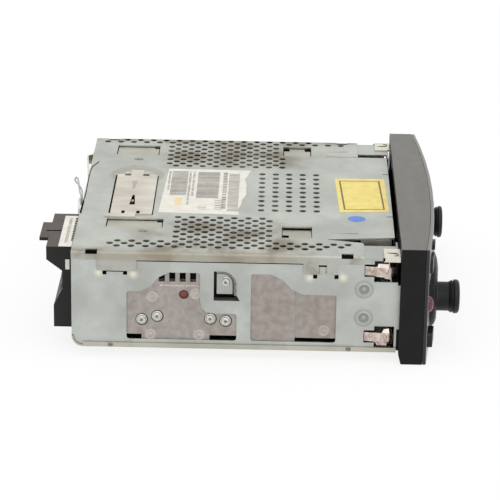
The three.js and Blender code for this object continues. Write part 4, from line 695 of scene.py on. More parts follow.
def make_finishes(colours):
    """Every finish, made once"""
    # The cover takes painted shade round its pressed arch
    galvanised_steel("galvanised_cover", colours["steel"], "#B7BAB3", stained=True)
    # The chassis takes painted shade on its inner faces and painted light and shade round its pressed rings
    galvanised_steel("galvanised_chassis", "#C6C9C4", "#B0B2AC", inside="#2B2A28")
    galvanised_steel("warmed_zinc", "#C5C2B5", "#AFAC9F")
    galvanised_steel("deck_steel", "#6F7070", "#5B5C5C")
    plated_spring_steel()
    die_cast_aluminium()
    die_cast_aluminium("ejected_casting", "#BBB2AB", "#C9C2BC")
    # A dark zinc for the painted shadow rings round the heat sink's screws
    zinc_plate("seat_shadow", "#4B4540", "#645C55")
    # A darker zinc that paints the shade of the spring plate's pressed dimple
    zinc_plate("dimple_shade_zinc", "#A6A297", "#B6B2A7")
    phosphor_bronze(colours["bronze"])
    zinc_plate()
    # A darker copy of the zinc that paints the shade in recesses, dimples and sloped borders
    zinc_plate("painted_shade_zinc", "#6E6E69", "#93938D")
    zinc_plate("shaded_zinc", "#8E918E", "#9DA09C")
    zinc_plate("passivated_zinc", "#D6D3C2", "#E2DFD1")
    # The front's pale film on its upward faces is partly dust and partly painted sheen of the lit tops
    moulded_plastic("moulded_front", colours["front"], "#151414", 0.42, 0.5, dust_and_sheen_tone="#7A7771", gloss=0.2)
    # The front panel's pale edges are a painted highlight
    moulded_plastic(
        "glossy_front_lit_edges", colours["front"], "#151414", 0.24, 0.5, 0.01, "#7A7771", "#A5A5A1")
    moulded_plastic("moulded_knob", "#0B0B0B", "#131212", 0.45, 0.4, gloss=0.35)
    moulded_plastic("moulded_button", "#0C0C0C", "#141313", 0.38, 0.4, gloss=0.4)
    # The nylon's pale film on its upward faces is partly dust and partly painted sheen of the lit tops
    moulded_plastic("glass_filled_nylon", "#121110", "#1C1A18", 0.5, 0.7, 0.04, dust_and_sheen_tone="#514A44", gloss=0.3)
    moulded_plastic("black_oxide", "#0B0A09", "#12110F", 0.7, gloss=0.0)
    moulded_plastic("acetal", "#E2E0D9", "#EEECE6", 0.4)
    moulded_plastic("epoxy_package", "#1A1A1B", "#262627", 0.6)
    moulded_plastic("fuse_polycarbonate", "#2D5FA8", "#3C73C0", 0.2)
    moulded_plastic("vulcanised_rubber", "#181716", "#24221F", 0.8, 0.8, 0.05)
    moulded_plastic("cast_plug", "#6E3F36", "#8A5548", 0.6)
    clear_plastic("smoked_acrylic", "#0C0D0F", "#16181B")
    clear_plastic("red_acrylic", "#4A0613", "#6F0F21", 0.06)
    clear_plastic("display_glass", "#1B2422", "#2A3532")
    circuit_board()
    label_paper("white_label", "#E3DFD2", colours["label"])
    label_paper("yellow_label", "#EBD571", colours["sticker"])
    label_paper("brown_print", "#6A5223", "#7D6433")
    label_paper("grey_print", "#76746E", "#8F8D87")
    label_paper("orange_print", "#EDD49B", "#F2DFB4")
    label_paper("blue_paint", "#4A7CC6", "#6692DA", 3)
    label_paper("white_print", "#C9C8C4", "#DAD9D5")
    label_paper("wire_braid", "#A9A8A6", "#C6C5C2", 1)


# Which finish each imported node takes
NODE_FINISHES = {
    "galvanised_chassis": ["chassis_frame"],
    "warmed_zinc": ["bottom_cover"],
    "galvanised_cover": ["top_cover"],
    "deck_steel": ["deck_base", "deck_lid", "tuner_module", "disc_clamp"],
    "plated_spring_steel": ["spring_plate"],
    "passivated_zinc": ["corner_clip_left", "corner_clip_right", "rear_strap"],
    "die_cast_aluminium": ["heat_sink"],
    "phosphor_bronze": ["latch_left_lower", "latch_left_upper", "latch_right_lower", "latch_right_upper"],
    "zinc_plate": [
        *[f"sink_screw_{i}" for i in range(1, 5)], "deck_screw_left", "deck_screw_right",
        "antenna_socket", "guide_rod_front", "guide_rod_rear", "volume_shaft", "tuning_shaft",
        "volume_encoder", "tuning_encoder", "spindle_motor",
    ],
    "moulded_front": ["fascia_frame"],
    "glossy_front_lit_edges": ["front_panel"],
    "moulded_knob": ["volume_knob", "tuning_knob"],
    "moulded_button": [
        *[f"preset_button_{i}" for i in range(1, 7)],
        *[f"{row}_button_{side}" for row in ("upper", "lower", "top") for side in ("left", "right")],
    ],
    "glass_filled_nylon": ["rear_header", "fuse_holder", "turntable"],
    "acetal": ["pickup_sled"],
    "epoxy_package": ["amplifier_chip", "capacitor"],
    "fuse_polycarbonate": ["fuse"],
    "vulcanised_rubber": ["feed_roller"],
    "smoked_acrylic": ["display_lens"],
    "red_acrylic": ["status_lens"],
    "display_glass": ["display_module"],
    "solder_mask": ["main_board", "switch_board"],
    "wire_braid": ["wire_tie"],
}


class RadioCoverSettings(bpy.types.PropertyGroup):
    hole_diameter: FloatProperty(
        name="Hole diameter", description="Diameter of each hole punched in the cover",
        default=3.5 * MM, min=1 * MM, max=5 * MM, unit="LENGTH")
    hole_pitch: FloatProperty(
        name="Hole pitch", description="Distance from one hole to the next in its row",
        default=7.1 * MM, min=5 * MM, max=12 * MM, unit="LENGTH")
    hole_sides: IntProperty(
        name="Hole sides", description="Straight sides that make up each round hole", default=16, min=8, max=32)
    steel: FloatVectorProperty(
        name="Steel", description="Lightest tone of the galvanised sheet", subtype="COLOR", size=3,
        default=(0.788, 0.8, 0.769), min=0, max=1)


class RadioLabelSettings(bpy.types.PropertyGroup):
    thickness: FloatProperty(
        name="Thickness", description="How thick the label stock is",
        default=0.12 * MM, min=0.05 * MM, max=0.3 * MM, unit="LENGTH")
    dot_diameter: FloatProperty(
        name="Dot diameter", description="Diameter of the painted dot",
        default=9 * MM, min=3 * MM, max=12 * MM, unit="LENGTH")
    paper: FloatVectorProperty(
        name="Paper", description="Lightest tone of the white label", subtype="COLOR", size=3,
        default=(0.945, 0.933, 0.894), min=0, max=1)
    sticker: FloatVectorProperty(
        name="Sticker", description="Lightest tone of the yellow sticker", subtype="COLOR", size=3,
        default=(0.965, 0.894, 0.525), min=0, max=1)


class RadioFrontSettings(bpy.types.PropertyGroup):
    edge_radius: FloatProperty(
        name="Edge radius", description="Radius that softens the moulded edges of the front",
        default=0.5 * MM, min=0.1 * MM, max=1 * MM, unit="LENGTH")
    plastic: FloatVectorProperty(
        name="Plastic", description="Darkest tone of the moulded front", subtype="COLOR", size=3,
        default=(0.055, 0.053, 0.052), min=0, max=1)
    bronze: FloatVectorProperty(
        name="Bronze", description="Lightest tone of the spring latches", subtype="COLOR", size=3,
        default=(0.87, 0.82, 0.784), min=0, max=1)


class RadioStageSettings(bpy.types.PropertyGroup):
    key_power: FloatProperty(
        name="Key light", description="Power of the large soft light above", default=5, min=0, max=60, unit="POWER")
    fill_power: FloatProperty(
        name="Fill light", description="Power of the soft light beside the camera",
        default=4, min=0, max=60, unit="POWER")
    daylight: FloatProperty(
        name="Daylight", description="Strength of the even light from all round", default=0.8, min=0, max=2)
    floor_size: FloatProperty(
        name="Floor size", description="Length of the floor's side", default=6, min=2, max=20, unit="LENGTH")


def as_hex(colour):
    """A picked sRGB colour as hex"""
    return "#" + "".join(f"{round(part * 255):02X}" for part in colour)


class RADIO_OT_stage(bpy.types.Operator):
    """Sets out the floor, the light and the camera"""
    bl_idname = "radio.stage"
    bl_label = "Stage"

    # The camera's focal length, its place, a point behind the radio that it looks at, and its roll in degrees
    focal_length = 183.756
    camera_place = Vector((-1.2493, -0.01379, 0.4933))
    camera_aim = Vector((0.524183, 0.007611, -0.172353))
    camera_roll = 0.91
    # What the lights look at
    lit_point = Vector((0, 0, 0.03))

    def execute(self, context):
        values = context.scene.radio_stage
        context.scene.view_settings.view_transform = "Standard"
        self.floor(values.floor_size)
        self.world(values.daylight)
        self.light("key_light", values.key_power, 2.2, Vector((-0.25, 0.1, 1.3)))
        self.light("fill_light", values.fill_power, 1.4, Vector((-1.4, -0.5, 0.9)))
        self.camera()
        return {"FINISHED"}

    def floor(self, size):
        """A pale floor that looks white to the camera and keeps the object's shadow"""
        half = size / 2
        mesh = bpy.data.meshes.new("floor")
        mesh.from_pydata(
            [(-half, -half, 0), (half, -half, 0), (half, half, 0), (-half, half, 0)], [], [(0, 1, 2, 3)])
        made = bpy.data.materials.new("pale_floor")
        tree = cleared(made)
        matt = add(tree, "ShaderNodeBsdfDiffuse", {"Color": linear("#DADADA")})
        faint = add(tree, "ShaderNodeBsdfDiffuse", {"Color": linear("#7A7A7A")})
        glow = add(tree, "ShaderNodeEmission", {"Color": linear("#FFFFFF"), "Strength": 0.82})
        lit = add(tree, "ShaderNodeAddShader", {0: faint.outputs[0], 1: glow.outputs[0]})
        seen = self.seen(tree)
        mixed = add(tree, "ShaderNodeMixShader", {0: seen, 1: matt.outputs[0], 2: lit.outputs[0]})
        add(tree, "ShaderNodeOutputMaterial", {"Surface": mixed.outputs[0]})
        mesh.materials.append(made)
        floor = placed("floor", mesh)

    def seen(self, tree):
        """1 for a ray from the camera, a reflection or a clear material"""
        rays = add(tree, "ShaderNodeLightPath").outputs
        both = add(tree, "ShaderNodeMath", {
            0: rays["Is Camera Ray"], 1: rays["Is Glossy Ray"]}, operation="MAXIMUM")
        return add(tree, "ShaderNodeMath", {
            0: both.outputs[0], 1: rays["Is Transmission Ray"]}, operation="MAXIMUM").outputs[0]

    def world(self, strength):
        """An even pale studio that the camera and reflections see as white"""
        world = bpy.data.worlds.new("studio")
        tree = cleared(world)
        soft = add(tree, "ShaderNodeBackground", {"Color": linear("#FFFFFF"), "Strength": strength})
        white = add(tree, "ShaderNodeBackground", {"Color": linear("#FFFFFF"), "Strength": 1.0})
        mixed = add(tree, "ShaderNodeMixShader", {0: self.seen(tree), 1: soft.outputs[0], 2: white.outputs[0]})
        add(tree, "ShaderNodeOutputWorld", {"Surface": mixed.outputs[0]})
        bpy.context.scene.world = world

    def light(self, name, power, size, place):
        """A square soft light that looks at the middle of the radio"""
        lamp = bpy.data.lights.new(name, "AREA")
        lamp.energy = power
        lamp.size = size
        holder = placed(name, lamp)
        holder.location = place
        holder.rotation_euler = (place - self.lit_point).to_track_quat("Z", "Y").to_euler()

    def camera(self):
        """The photograph's own place and framing, with its small roll"""
        data = bpy.data.cameras.new("camera")
        data.sensor_width = 36
        data.lens = self.focal_length
        data.clip_end = 50
        camera = placed("camera", data)
        back = (self.camera_place - self.camera_aim).normalized()
        right = Vector((0, 0, 1)).cross(back).normalized()
        up = back.cross(right)
        roll = math.radians(self.camera_roll)
        right, up = right * math.cos(roll) + up * math.sin(roll), up * math.cos(roll) - right * math.sin(roll)
        turn = Matrix((right, up, back)).transposed().to_4x4()
        camera.matrix_world = Matrix.Translation(self.camera_place) @ turn
        bpy.context.scene.camera = camera


class RADIO_OT_finishes(bpy.types.Operator):
    """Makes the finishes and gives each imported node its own"""
    bl_idname = "radio.finishes"
    bl_label = "Finishes"

    def execute(self, context):
        scene = context.scene
        make_finishes({
            "steel": as_hex(scene.radio_cover.steel),
            "label": as_hex(scene.radio_label.paper),
            "sticker": as_hex(scene.radio_label.sticker),
            "front": as_hex(scene.radio_front.plastic),
            "bronze": as_hex(scene.radio_front.bronze),
        })
        left = set(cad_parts)
        for finish, names in NODE_FINISHES.items():
            for name in names:
                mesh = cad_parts[name].data
                mesh.materials.clear()
                mesh.materials.append(FINISHES[finish])
                left.discard(name)
        if left:
            raise RuntimeError(f"nodes without a finish: {sorted(left)}")
        TREES["sheet"] = punched_sheet_tree()
        TREES["copies"] = scattered_tree()
        TREES["bars"] = bars_tree()
        return {"FINISHED"}


# Windows of the cover: near, far, front and rear, in millimetres; the lanced ones hold a tongue
SPRING_WINDOW = (-35.1, 26.077, 122.88, 145.6)
LANCED = [
    {"window": (60.6, 76.8, 124.5, 147.5), "notches": [("far", "front")]},
    {"window": (-53.04, -40.5, 117.12, 145.6), "notches": [("far", "front")]},
    {"window": (63.6, 78.85, 42.24, 57.44), "notches": [("far", "front"), ("far", "rear")], "notch": (5, 3)},
    {
        "window": (-64.44, -47.97, 42.4, 57.44), "notches": [("near", "rear")], "notch": (5, 3.2), "dip": 1.7,
        "gap": 0.3,
    },
]
TAB_SPANS = [(29.92, 46.56), (128, 147.52)]
FOLD_SLOTS = [(22.4, 28.2), (147.2, 153)]
# Usual size of a notch in a tongue's corner, and how far a tongue stays from its window's far side
NOTCH = (2.6, 2.6)
TIP_GAP = 0.7
# How low and how far inwards the slots in the fold reach
SLOT_FOOT = 48.7
SLOT_REACH = 2.7
# Where the side strips, the splits and the middle of the cover begin
STRIP_FRONT = 16.96
SPLIT_REAR = 34.56
TONGUE_FRONT = 1.44
# Near end of the bar that carries the spring plate
BAR = -39.4
# Solid sheet kept round a hole, and the first hole, far corner and size of the square grid
HOLE_MARGIN = 1.1
GRID_START = (-24.653, 39.84)
GRID_END = (32.218, 68.32)
GRID_COLUMNS, GRID_ROWS = 9, 5
# Fields of staggered holes: edge row, inner row, front, rear, a hole of the edge row, and the long rows' ends
HOLE_FIELDS = [
    (86.33, 43.61, 57.12, 119.5, 93.31, [(42.4, 144), (18.4, 154.4)]),
    (-79.833, -37.202, 61.2, 111.95, 88.64, [(37.6, 140), (27.2, 143.2), (24, 140)]),
]


def hole_places(diameter, pitch):
    """Places of the punched holes: a staggered field on each side and a square grid in the middle"""
    clear = diameter / 2 + HOLE_MARGIN
    windows = [SPRING_WINDOW] + [item["window"] for item in LANCED]
    places = []

    def mark(x, y):
        meets = any(n - clear < x < f + clear and a - clear < y < b + clear for n, f, a, b in windows)
        inside = abs(x) < HALF - SHEET - clear / 2 and STRIP_FRONT + clear < y < DEPTH - clear
        if inside and not meets:
            places.append((x, y))

    half = pitch / 2
    steps = math.ceil(DEPTH / pitch)
    for edge, inner, front, rear, known, long_rows in HOLE_FIELDS:
        for row in range(int(abs(edge - inner) / half) + 1):
            x = edge - math.copysign(row * half, edge)
            low, high = long_rows[row] if row < len(long_rows) else (front, rear)
            first = known + row % 2 * half
            for step in range(-steps, steps + 1):
                y = first + step * pitch
                if low <= y <= high:
                    mark(x, y)
    for column in range(GRID_COLUMNS):
        for row in range(GRID_ROWS):
            x, y = GRID_START[0] + column * pitch, GRID_START[1] + row * pitch
            if x <= GRID_END[0] and y <= GRID_END[1]:
                mark(x, y)
    return places


class RADIO_OT_cover(bpy.types.Operator):
    """Builds the perforated cover with its folds, side flanges and lanced tongues"""
    bl_idname = "radio.cover"
    bl_label = "Perforated cover"

    def execute(self, context):
        values = context.scene.radio_cover
        diameter, pitch = values.hole_diameter / MM, values.hole_pitch / MM
        finish = "galvanised_cover"
        edge = HALF - FOLD
        left, right = [[
            (side * (edge - inset), y) for low, high in FOLD_SLOTS for y, inset in (
                (low, 0), (low, SLOT_REACH), (high, SLOT_REACH), (high, 0))] for side in (-1, 1)]
        outline = [
            (-edge, DEPTH), *left[::-1], (-edge, STRIP_FRONT + 0.8), (-edge + 1.2, STRIP_FRONT),
            (-71.5, STRIP_FRONT), (-69.9, STRIP_FRONT + 0.5), (-69.2, STRIP_FRONT + 2), (-66.015, SPLIT_REAR),
            (-65.415, SPLIT_REAR), (-61.41, TONGUE_FRONT), (-31.472, TONGUE_FRONT), (-31.472, 4.44),
            (-30.472, 4.44), (-30.472, TONGUE_FRONT), (35.189, TONGUE_FRONT), (35.189, 4.44), (36.189, 4.44),
            (36.189, TONGUE_FRONT), (63.101, TONGUE_FRONT), (63.101, SPLIT_REAR), (63.701, SPLIT_REAR),
            (63.701, STRIP_FRONT), (edge, STRIP_FRONT), *right, (edge, DEPTH),
        ]
        creases = [
            [(-56.9, 19.5), (-56.2, 19.5), (-56.5, 34.5)],
            [(72.0, 22.3), (72.8, 22.3), (70.8, 34.9)],
        ]
        windows = [rectangle(*SPRING_WINDOW)] + [rectangle(*item["window"]) for item in LANCED]
        under = HEIGHT - SHEET
        parts = [sheet(
            "cover_top", [outline, *creases, *windows], hole_places(diameter, pitch), SHEET, LYING,
            (0, 0, under), finish, diameter, values.hole_sides)]
        for side in (-1, 1):
            parts.append(self.flange(side, finish))
            parts += self.folds(side)
        cover = settle("perforated_cover", parts, finish, smooth=35)
        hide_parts("top_cover")
        tongues = [self.tongue(i, item) for i, item in enumerate(LANCED)]
        settle("lanced_tongues", tongues, "warmed_zinc", smooth=35)
        rim = [(-64.4, 18.2), (-62.4, 3.0), (-61.9, 3.0), (-63.9, 18.2)]
        settle("tongue_rim", prism("tongue_rim", rim, "z", 45.6, 49.1), "warmed_zinc")
        # Painted shade: black inlays in the open joints, slots and notches of the cover
        settle("dark_gaps", self.gaps(edge), "black_oxide")
        return {"FINISHED"}

    def gaps(self, edge):
        """Painted shade: black inlays in an open joint, a slot or a notch, where there is only shade"""
        gaps = []
        for side in (-1, 1):
            span = sorted((side * (HALF - 0.12), side * (WALL - 0.1)))
            for gap in ((46.7, 127.9, 45.3, 45.85), (35.2, 39.2, 44.3, 45.2), (134.6, 142.6, 39.7, 40.15)):
                gaps.append(prism("gap", rectangle(*gap), "x", *span))
            span = sorted((side * (HALF + 0.04), side * (HALF - 0.5)))
            gaps.append(prism("gap", rectangle(6.9, 7.9, 47.9, 49.5), "x", *span))
            ends = sorted((side * (edge - SLOT_REACH + 0.05), side * (HALF - 0.25)))
            for low, high in FOLD_SLOTS:
                gaps.append(prism("slot", rectangle(*ends, low + 0.05, high - 0.05), "z", 48.75, 49.4))
            slot = [(-83.2, 4.6), (-83.5, 2.4), (-84.5, 0.9), (-86.2, 0.8), (-86.9, 2.6)]
            gaps.append(wire("clip_slot", [(-side * x, y, HEIGHT) for x, y in slot], 0.2))
        for item in LANCED:
            near, far, front, rear = item["window"]
            long, wide = item.get("notch", NOTCH)
            for across, along in item["notches"]:
                x = far - long - TIP_GAP if across == "far" else near
                y = rear - wide - 0.6 if along == "rear" else front
                level = 48.4 if across == "far" else 49.2
                shade = rectangle(x + 0.05, x + long + 0.65, y + 0.05, y + wide + 0.6)
                gaps.append(prism("shade", shade, "z", level, level + 0.1))
        return gaps

    def tongue(self, index, item):
        """A tongue rooted at its window's near edge that dips towards the far edge, with its notched corners"""
        near, far, front, rear = item["window"]
        gap, notch, dip = item.get("gap", 0.5), item.get("notch", NOTCH), item.get("dip", 1.0)
        under = HEIGHT - SHEET
        tip, low, high = far - TIP_GAP, front + gap, rear - gap
        points = rectangle(near, tip, low, high)
        for across, along in item["notches"]:
            x = tip if across == "far" else near
            y = high if along == "rear" else low
            into_x = -notch[0] if across == "far" else notch[0]
            into_y = -notch[1] if along == "rear" else notch[1]
            spot = points.index((x, y))
            walk = [(x + into_x, y), (x + into_x, y + into_y), (x, y + into_y)]
            if (across, along) in (("far", "rear"), ("near", "front")):
                walk.reverse()
            points[spot:spot + 1] = walk
        slope = dip / (tip - near)
        body = [(x, y, under + rise - (x - near) * slope) for rise in (0, SHEET) for x, y in points]
        return solid(f"tongue_{index}", body, prism_faces(len(points)))

    def flange(self, side, finish):
        """The upright side of the cover below the fold, with its two hook tabs"""
        head, foot, tab = HEIGHT - FOLD, 45.8, 40.2
        points = [(STRIP_FRONT, head), (STRIP_FRONT, foot)]
        slots = [(y, z) for low, high in reversed(FOLD_SLOTS) for y, z in (
            (high, head), (high, SLOT_FOOT), (low, SLOT_FOOT), (low, head))]
        for front, rear in TAB_SPANS:
            points += [(front, foot), (front, tab), (rear, tab), (rear, foot)]
        points += [(DEPTH, foot), (DEPTH, head), *slots]
        hook = [
            (35.2, 41), (35.8, 41), (35.8, 44.3), (38.6, 44.3), (38.6, 41), (39.2, 41), (39.2, 45.2), (35.2, 45.2)]
        start_x = -HALF if side < 0 else HALF - SHEET
        return sheet(f"flange_{side}", [points, hook], [], SHEET, UPRIGHT, (start_x, 0, 0), finish)

    def folds(self, side):
        """The rounded folds between the flat and the flange, on both sides of the fold's slots"""
        steps = 6
        outer, inner = FOLD, FOLD - SHEET
        ring = []
        for radius in (outer, inner):
            arc = [
                (side * (HALF - FOLD + radius * math.sin(turn)), HEIGHT - FOLD + radius * math.cos(turn))
                for turn in (math.pi / 2 * i / steps for i in range(steps + 1))
            ]
            ring += arc if radius == outer else arc[::-1]
        ends = [STRIP_FRONT, *[y for slot in FOLD_SLOTS for y in slot], DEPTH]
        return [prism(f"fold_{side}_{i}", ring, "y", ends[i], ends[i + 1]) for i in range(0, len(ends), 2)]


class RADIO_OT_relief(bpy.types.Operator):
    """Builds the pressed rings, bosses and dimples of the sheet metal"""
    bl_idname = "radio.relief"
    bl_label = "Pressed relief"

    def execute(self, context):
        ring = [
            (0, 0.42), (0.7, 0.38), (1.3, 0.12), (1.7, 0.06), (2.2, 0.3), (2.7, 0.3), (3.1, 0.08),
            (3.5, 0.05), (3.9, 0.16), (4.3, 0.12), (4.7, -0.02), (4.7, -0.1), (0, -0.1),
        ]
        parts = [turned(f"ring_{i}", ring, (-WALL, y, z), (-1, 0, 0), 40) for i, (y, z) in enumerate(RINGS)]
        settle("wall_bosses", parts, "galvanised_chassis", smooth=60)
        pad = [(0, 0.12), (0.6, 0.12), (0.9, 0.08), (1.0, -0.02), (1.0, -0.1), (0, -0.1)]
        pads = [
            turned(f"pad_{i}", [(r * 1.9, h) for r, h in pad], (x, y, HEIGHT), (0, 0, 1), 32, (1.4, 1.0))
            for i, (x, y) in enumerate([(53.2, 135.0), (-58.6, 126.6)])
        ]
        # Painted shade: the bosses take the darker zinc
        settle("cover_bosses", pads, "painted_shade_zinc", smooth=60)
        arch = ridge("pressed_arch", (26.6, 134.3), (11, 8.2), (15.6, 11.6), -84, 84, 0.6, HEIGHT)
        settle("pressed_arch", arch, "galvanised_cover", smooth=60)
        borders = [self.border(side) for side in (-1, 1)]
        # Painted shade: the sloped borders take the darker zinc
        settle("lug_borders", borders, "painted_shade_zinc", smooth=60)
        dimple = [(0, 0.05), (0.7, 0.08), (1.1, 0.2), (1.4, 0.05), (1.4, -0.1), (0, -0.1)]
        dimples = [
            turned(f"dimple_{i}", dimple, (-HALF, y, 1.3), (-1, 0, 0), 20, (0.8, 1.0))
            for i, y in enumerate([23.7, 140.8])
        ]
        # Painted shade: the dimples take the darker zinc
        settle("rim_dimples", dimples, "painted_shade_zinc", smooth=60)
        return {"FINISHED"}

    def border(self, side):
        """The sloped border of the sunken lug, from the wall down to the lug's floor"""
        rear, front, top, foot, sweep, width, depth = 88.8, 79.04, 40.5, 27.9, 7, 2.1, 2.1
        steps = 10
        rails = []
        for inset, out in ((0, -0.05), (0.9, -0.03), (width, depth), (width, depth + 0.2), (0, 0.3)):
            x = side * (WALL - out)
            path = [(rear, top - inset)]
            for i in range(steps + 1):
                turn = math.pi / 2 * i / steps
                path.append((
                    front + sweep - (sweep - inset) * math.sin(turn), top - sweep + (sweep - inset) * math.cos(turn)))
            path.append((front + inset, foot))
            rails.append([(x, y, z) for y, z in path])
        count = len(rails[0])
        faces = [[k * count + end for k in range(len(rails))] for end in (0, count - 1)]
        for k in range(len(rails)):
            a, b = k * count, (k + 1) % len(rails) * count
            faces += [[a + i, a + i + 1, b + i + 1, b + i] for i in range(count - 1)]
        return solid("lug_border", [point for rail in rails for point in rail], faces)


class RADIO_OT_heat_sink(bpy.types.Operator):
    """Builds the ejector marks, a painted highlight on the rib's edge, and the plug of the heat sink"""
    bl_idname = "radio.heat_sink"
    bl_label = "Heat sink detail"

    def execute(self, context):
        mark = [
            (0, 0.22), (0.8, 0.2), (1.1, 0.02), (1.7, 0.02), (2.1, 0.24), (2.6, 0.26), (3.0, 0.0), (3.0, -0.1),
            (0, -0.1),
        ]
        marks = [
            turned(f"mark_{i}", mark, (-SINK, y, z), (-1, 0, 0), 32)
            for i, (y, z) in enumerate([(120.4, 26), (97.4, 6.2), (121.3, 6.2), (99, 28)])
        ]
        marks.append(turned("mark_front", mark, (-SINK + 0.5, 36, 9.6), (-1, 0, 0), 32))
        settle("ejector_marks", marks, "ejected_casting", smooth=50)
        # Painted highlight: a warm bright strip where the top edge of the recessed web catches the light
        lit = prism("rib_edge", rectangle(97.4, 116.8, 32.1, 32.8), "x", -SINK - 0.08, -SINK + 0.4)
        settle("rib_edge", lit, "phosphor_bronze")
        plug = [(0, -0.9), (1.4, -0.85), (2.2, -1.1), (2.45, -1.3), (2.45, -3.6), (0, -3.6)]
        settle(
            "sink_plug", turned("sink_plug", plug, (-SINK, 104.9, 27.8), (-1, 0, 0), 32),
            "cast_plug", smooth=50)
        return {"FINISHED"}


# How far a screw's head stands off what it holds, in millimetres
SCREW_HEAD = 1.5


def screw_mesh():
    """A pan-head screw with a washer face and a six-lobe recess, its head towards -X, at the frame's origin"""
    lobes = lambda turn: 0.85 + 0.22 * math.cos(6 * turn)
    profile = [
        (0, -3.4), (1.3, -3.4), (1.3, 0), (2.6, 0), (2.6, 0.35), (2.45, 0.45), (2.15, 0.5), (2.1, 0.8),
        (1.95, 1.25), (1.6, 1.47), (1.25, SCREW_HEAD), (-1, SCREW_HEAD), (-1, 0.75), (0, 0.75),
    ]
    mesh = turned("screw", profile, (0, 0, 0), (-1, 0, 0), 36, star=lobes)
    mesh.transform(Matrix.Translation(-ORIGIN))
    return mesh


class RADIO_OT_screws(bpy.types.Operator):
    """Builds the heat sink's screws and the deck's screws, with painted shadow rings round the sink's screws and
    painted shade in every recess
    """
    bl_idname = "radio.screws"
    bl_label = "Screws"

    def execute(self, context):
        sink = [f"sink_screw_{i}" for i in range(1, 5)]
        deck = ["deck_screw_left", "deck_screw_right"]
        for name, nodes in (("sink_screws", sink), ("deck_screws", deck)):
            spots = [self.spot(node, i) for i, node in enumerate(nodes)]
            mesh = copies(name, screw_mesh(), spots, "zinc_plate")
            screws = settle(name, mesh, None, smooth=40)
            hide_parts(*nodes)
        # Painted shadow: a dark ring round each heat sink screw's head
        shadow_ring = [(2.4, -0.1), (2.4, 0.05), (3.1, 0.03), (3.2, -0.1), (2.4, -0.1)]
        shadow_rings = []
        for i, node in enumerate(sink):
            (x, y, z), turn = self.spot(node, i)
            shadow_rings.append(turned("shadow_ring", shadow_ring, (x, y - 0.15, z - 0.2), (-1, 0, 0), 32))
        # Painted shade: a dark disc at the floor of each screw's recess
        floor = [(0, 0.82), (0.72, 0.82), (0.72, 0.76), (0, 0.76)]
        recess_shades = []
        for i, node in enumerate(sink + deck):
            place, turn = self.spot(node, i)
            side = -1 if place[0] < 0 else 1
            recess_shades.append(turned("floor", floor, place, (side, 0, 0), 24))
        settle("screw_recesses", recess_shades, "painted_shade_zinc")
        settle("screw_seats", shadow_rings, "seat_shadow", smooth=40)
        return {"FINISHED"}

    def spot(self, node, index):
        """Where the underside of a packed screw's head lies, and how the screw is turned"""
        low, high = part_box(node)
        middle = ((low + high) / 2 - ORIGIN) / MM
        left = middle.x < 0
        x = low.x / MM + SCREW_HEAD if left else high.x / MM - SCREW_HEAD
        return (x, middle.y, middle.z), (0.7 * index, 0, 0 if left else math.pi)


class RADIO_OT_latches(bpy.types.Operator):
    """Builds the formed spring latches beside the front corners"""
    bl_idname = "radio.latches"
    bl_label = "Spring latches"

    # Distance from the root and half height of the leaf, each as the latch runs forward, in millimetres
    leaf = [(0, 2.3), (3.8, 2.3), (4.6, 2.6), (8.4, 2.6), (9.2, 2.3), (11.0, 2.2), (12.2, 1.7)]
    # Distance from the root and how far the leaf bulges outwards
    bulge = [(0, 0), (3.0, 0.5), (6.2, 1.7), (8.4, 2.0), (10.0, 1.5), (12.2, -0.6)]
    # Thickness of the leaf and of its bent ears, and how far its middle is crowned
    leaf_thickness = 0.5
    ear_thickness = 0.45
    crown = 0.25
    # Places of the two pressed dots
    dots = (2.6, 8.6)
    # Steps along the leaf, and its points across from one edge to the other
    rows = 24
    lanes = (-1, -0.5, 0, 0.5, 1)

    def execute(self, context):
        for side in (-1, 1):
            for level in ("lower", "upper"):
                self.latch(side, level)
        return {"FINISHED"}

    def along(self, table, at_place):
        """What a table of places and values says at a place"""
        for (a, low), (b, high) in zip(table, table[1:]):
            if a <= at_place <= b:
                return low + (high - low) * (at_place - a) / (b - a)
        return table[-1][1]

    def latch(self, side, level):
        """One latch: its crowned leaf, two pressed dots, and its bent ears"""
        word = "left" if side < 0 else "right"
        node = f"latch_{word}_{level}"
        low, high = measured(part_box(node))
        middle = (low.z + high.z) / 2
        reach = high.y - low.y
        share = reach / self.leaf[-1][0]
        points = []
        for surface in (0, -self.leaf_thickness):
            for i in range(self.rows + 1):
                step = i / self.rows * self.leaf[-1][0]
                half = self.along(self.leaf, step)
                out = self.along(self.bulge, step)
                for v in self.lanes:
                    crown = self.crown * (1 - v * v)
                    x = side * (WALL + out + crown + surface)
                    points.append((x, high.y - step * share, middle + v * half))
        parts = [solid(node + "_leaf", points, shell_faces(self.rows, len(self.lanes)))]
        dot = [(0, 0.5), (0.5, 0.45), (0.9, 0.15), (1.1, -0.3), (0, -0.3)]
        for step in self.dots:
            x = side * (WALL + self.along(self.bulge, step) + 0.22)
            parts.append(turned("dot", dot, (x, high.y - step * share, middle + 0.3), (side, 0, 0), 20))
        up = 1 if level == "upper" else -1
        parts += self.ears(side, high.y, middle, up, share)
        mesh = joined(node, parts)
        latch = settle(f"formed_{node}", mesh, "phosphor_bronze", node, smooth=40)
        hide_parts(node)

    def ears(self, side, root, middle, up, share):
        """The ear turned up beside the leaf and the lip that curls in below it"""
        ear = [(4.8, 2.4, 1.9), (9.4, 2.2, 2.1), (9.4, 4.1, 1.2), (5.2, 4.1, 1.0)]
        lip = [(6.8, -1.6, 1.7), (10.6, -1.8, 1.1), (10.2, -4.4, 0.0), (8.2, -4.0, 0.0)]
        made = []
        for corners in (ear, lip):
            points = [
                (side * (WALL + out - inset), root - step * share, middle + up * rise)
                for inset in (0, self.ear_thickness) for step, rise, out in corners
            ]
            made.append(solid("ear", points, prism_faces(len(corners))))
        return made


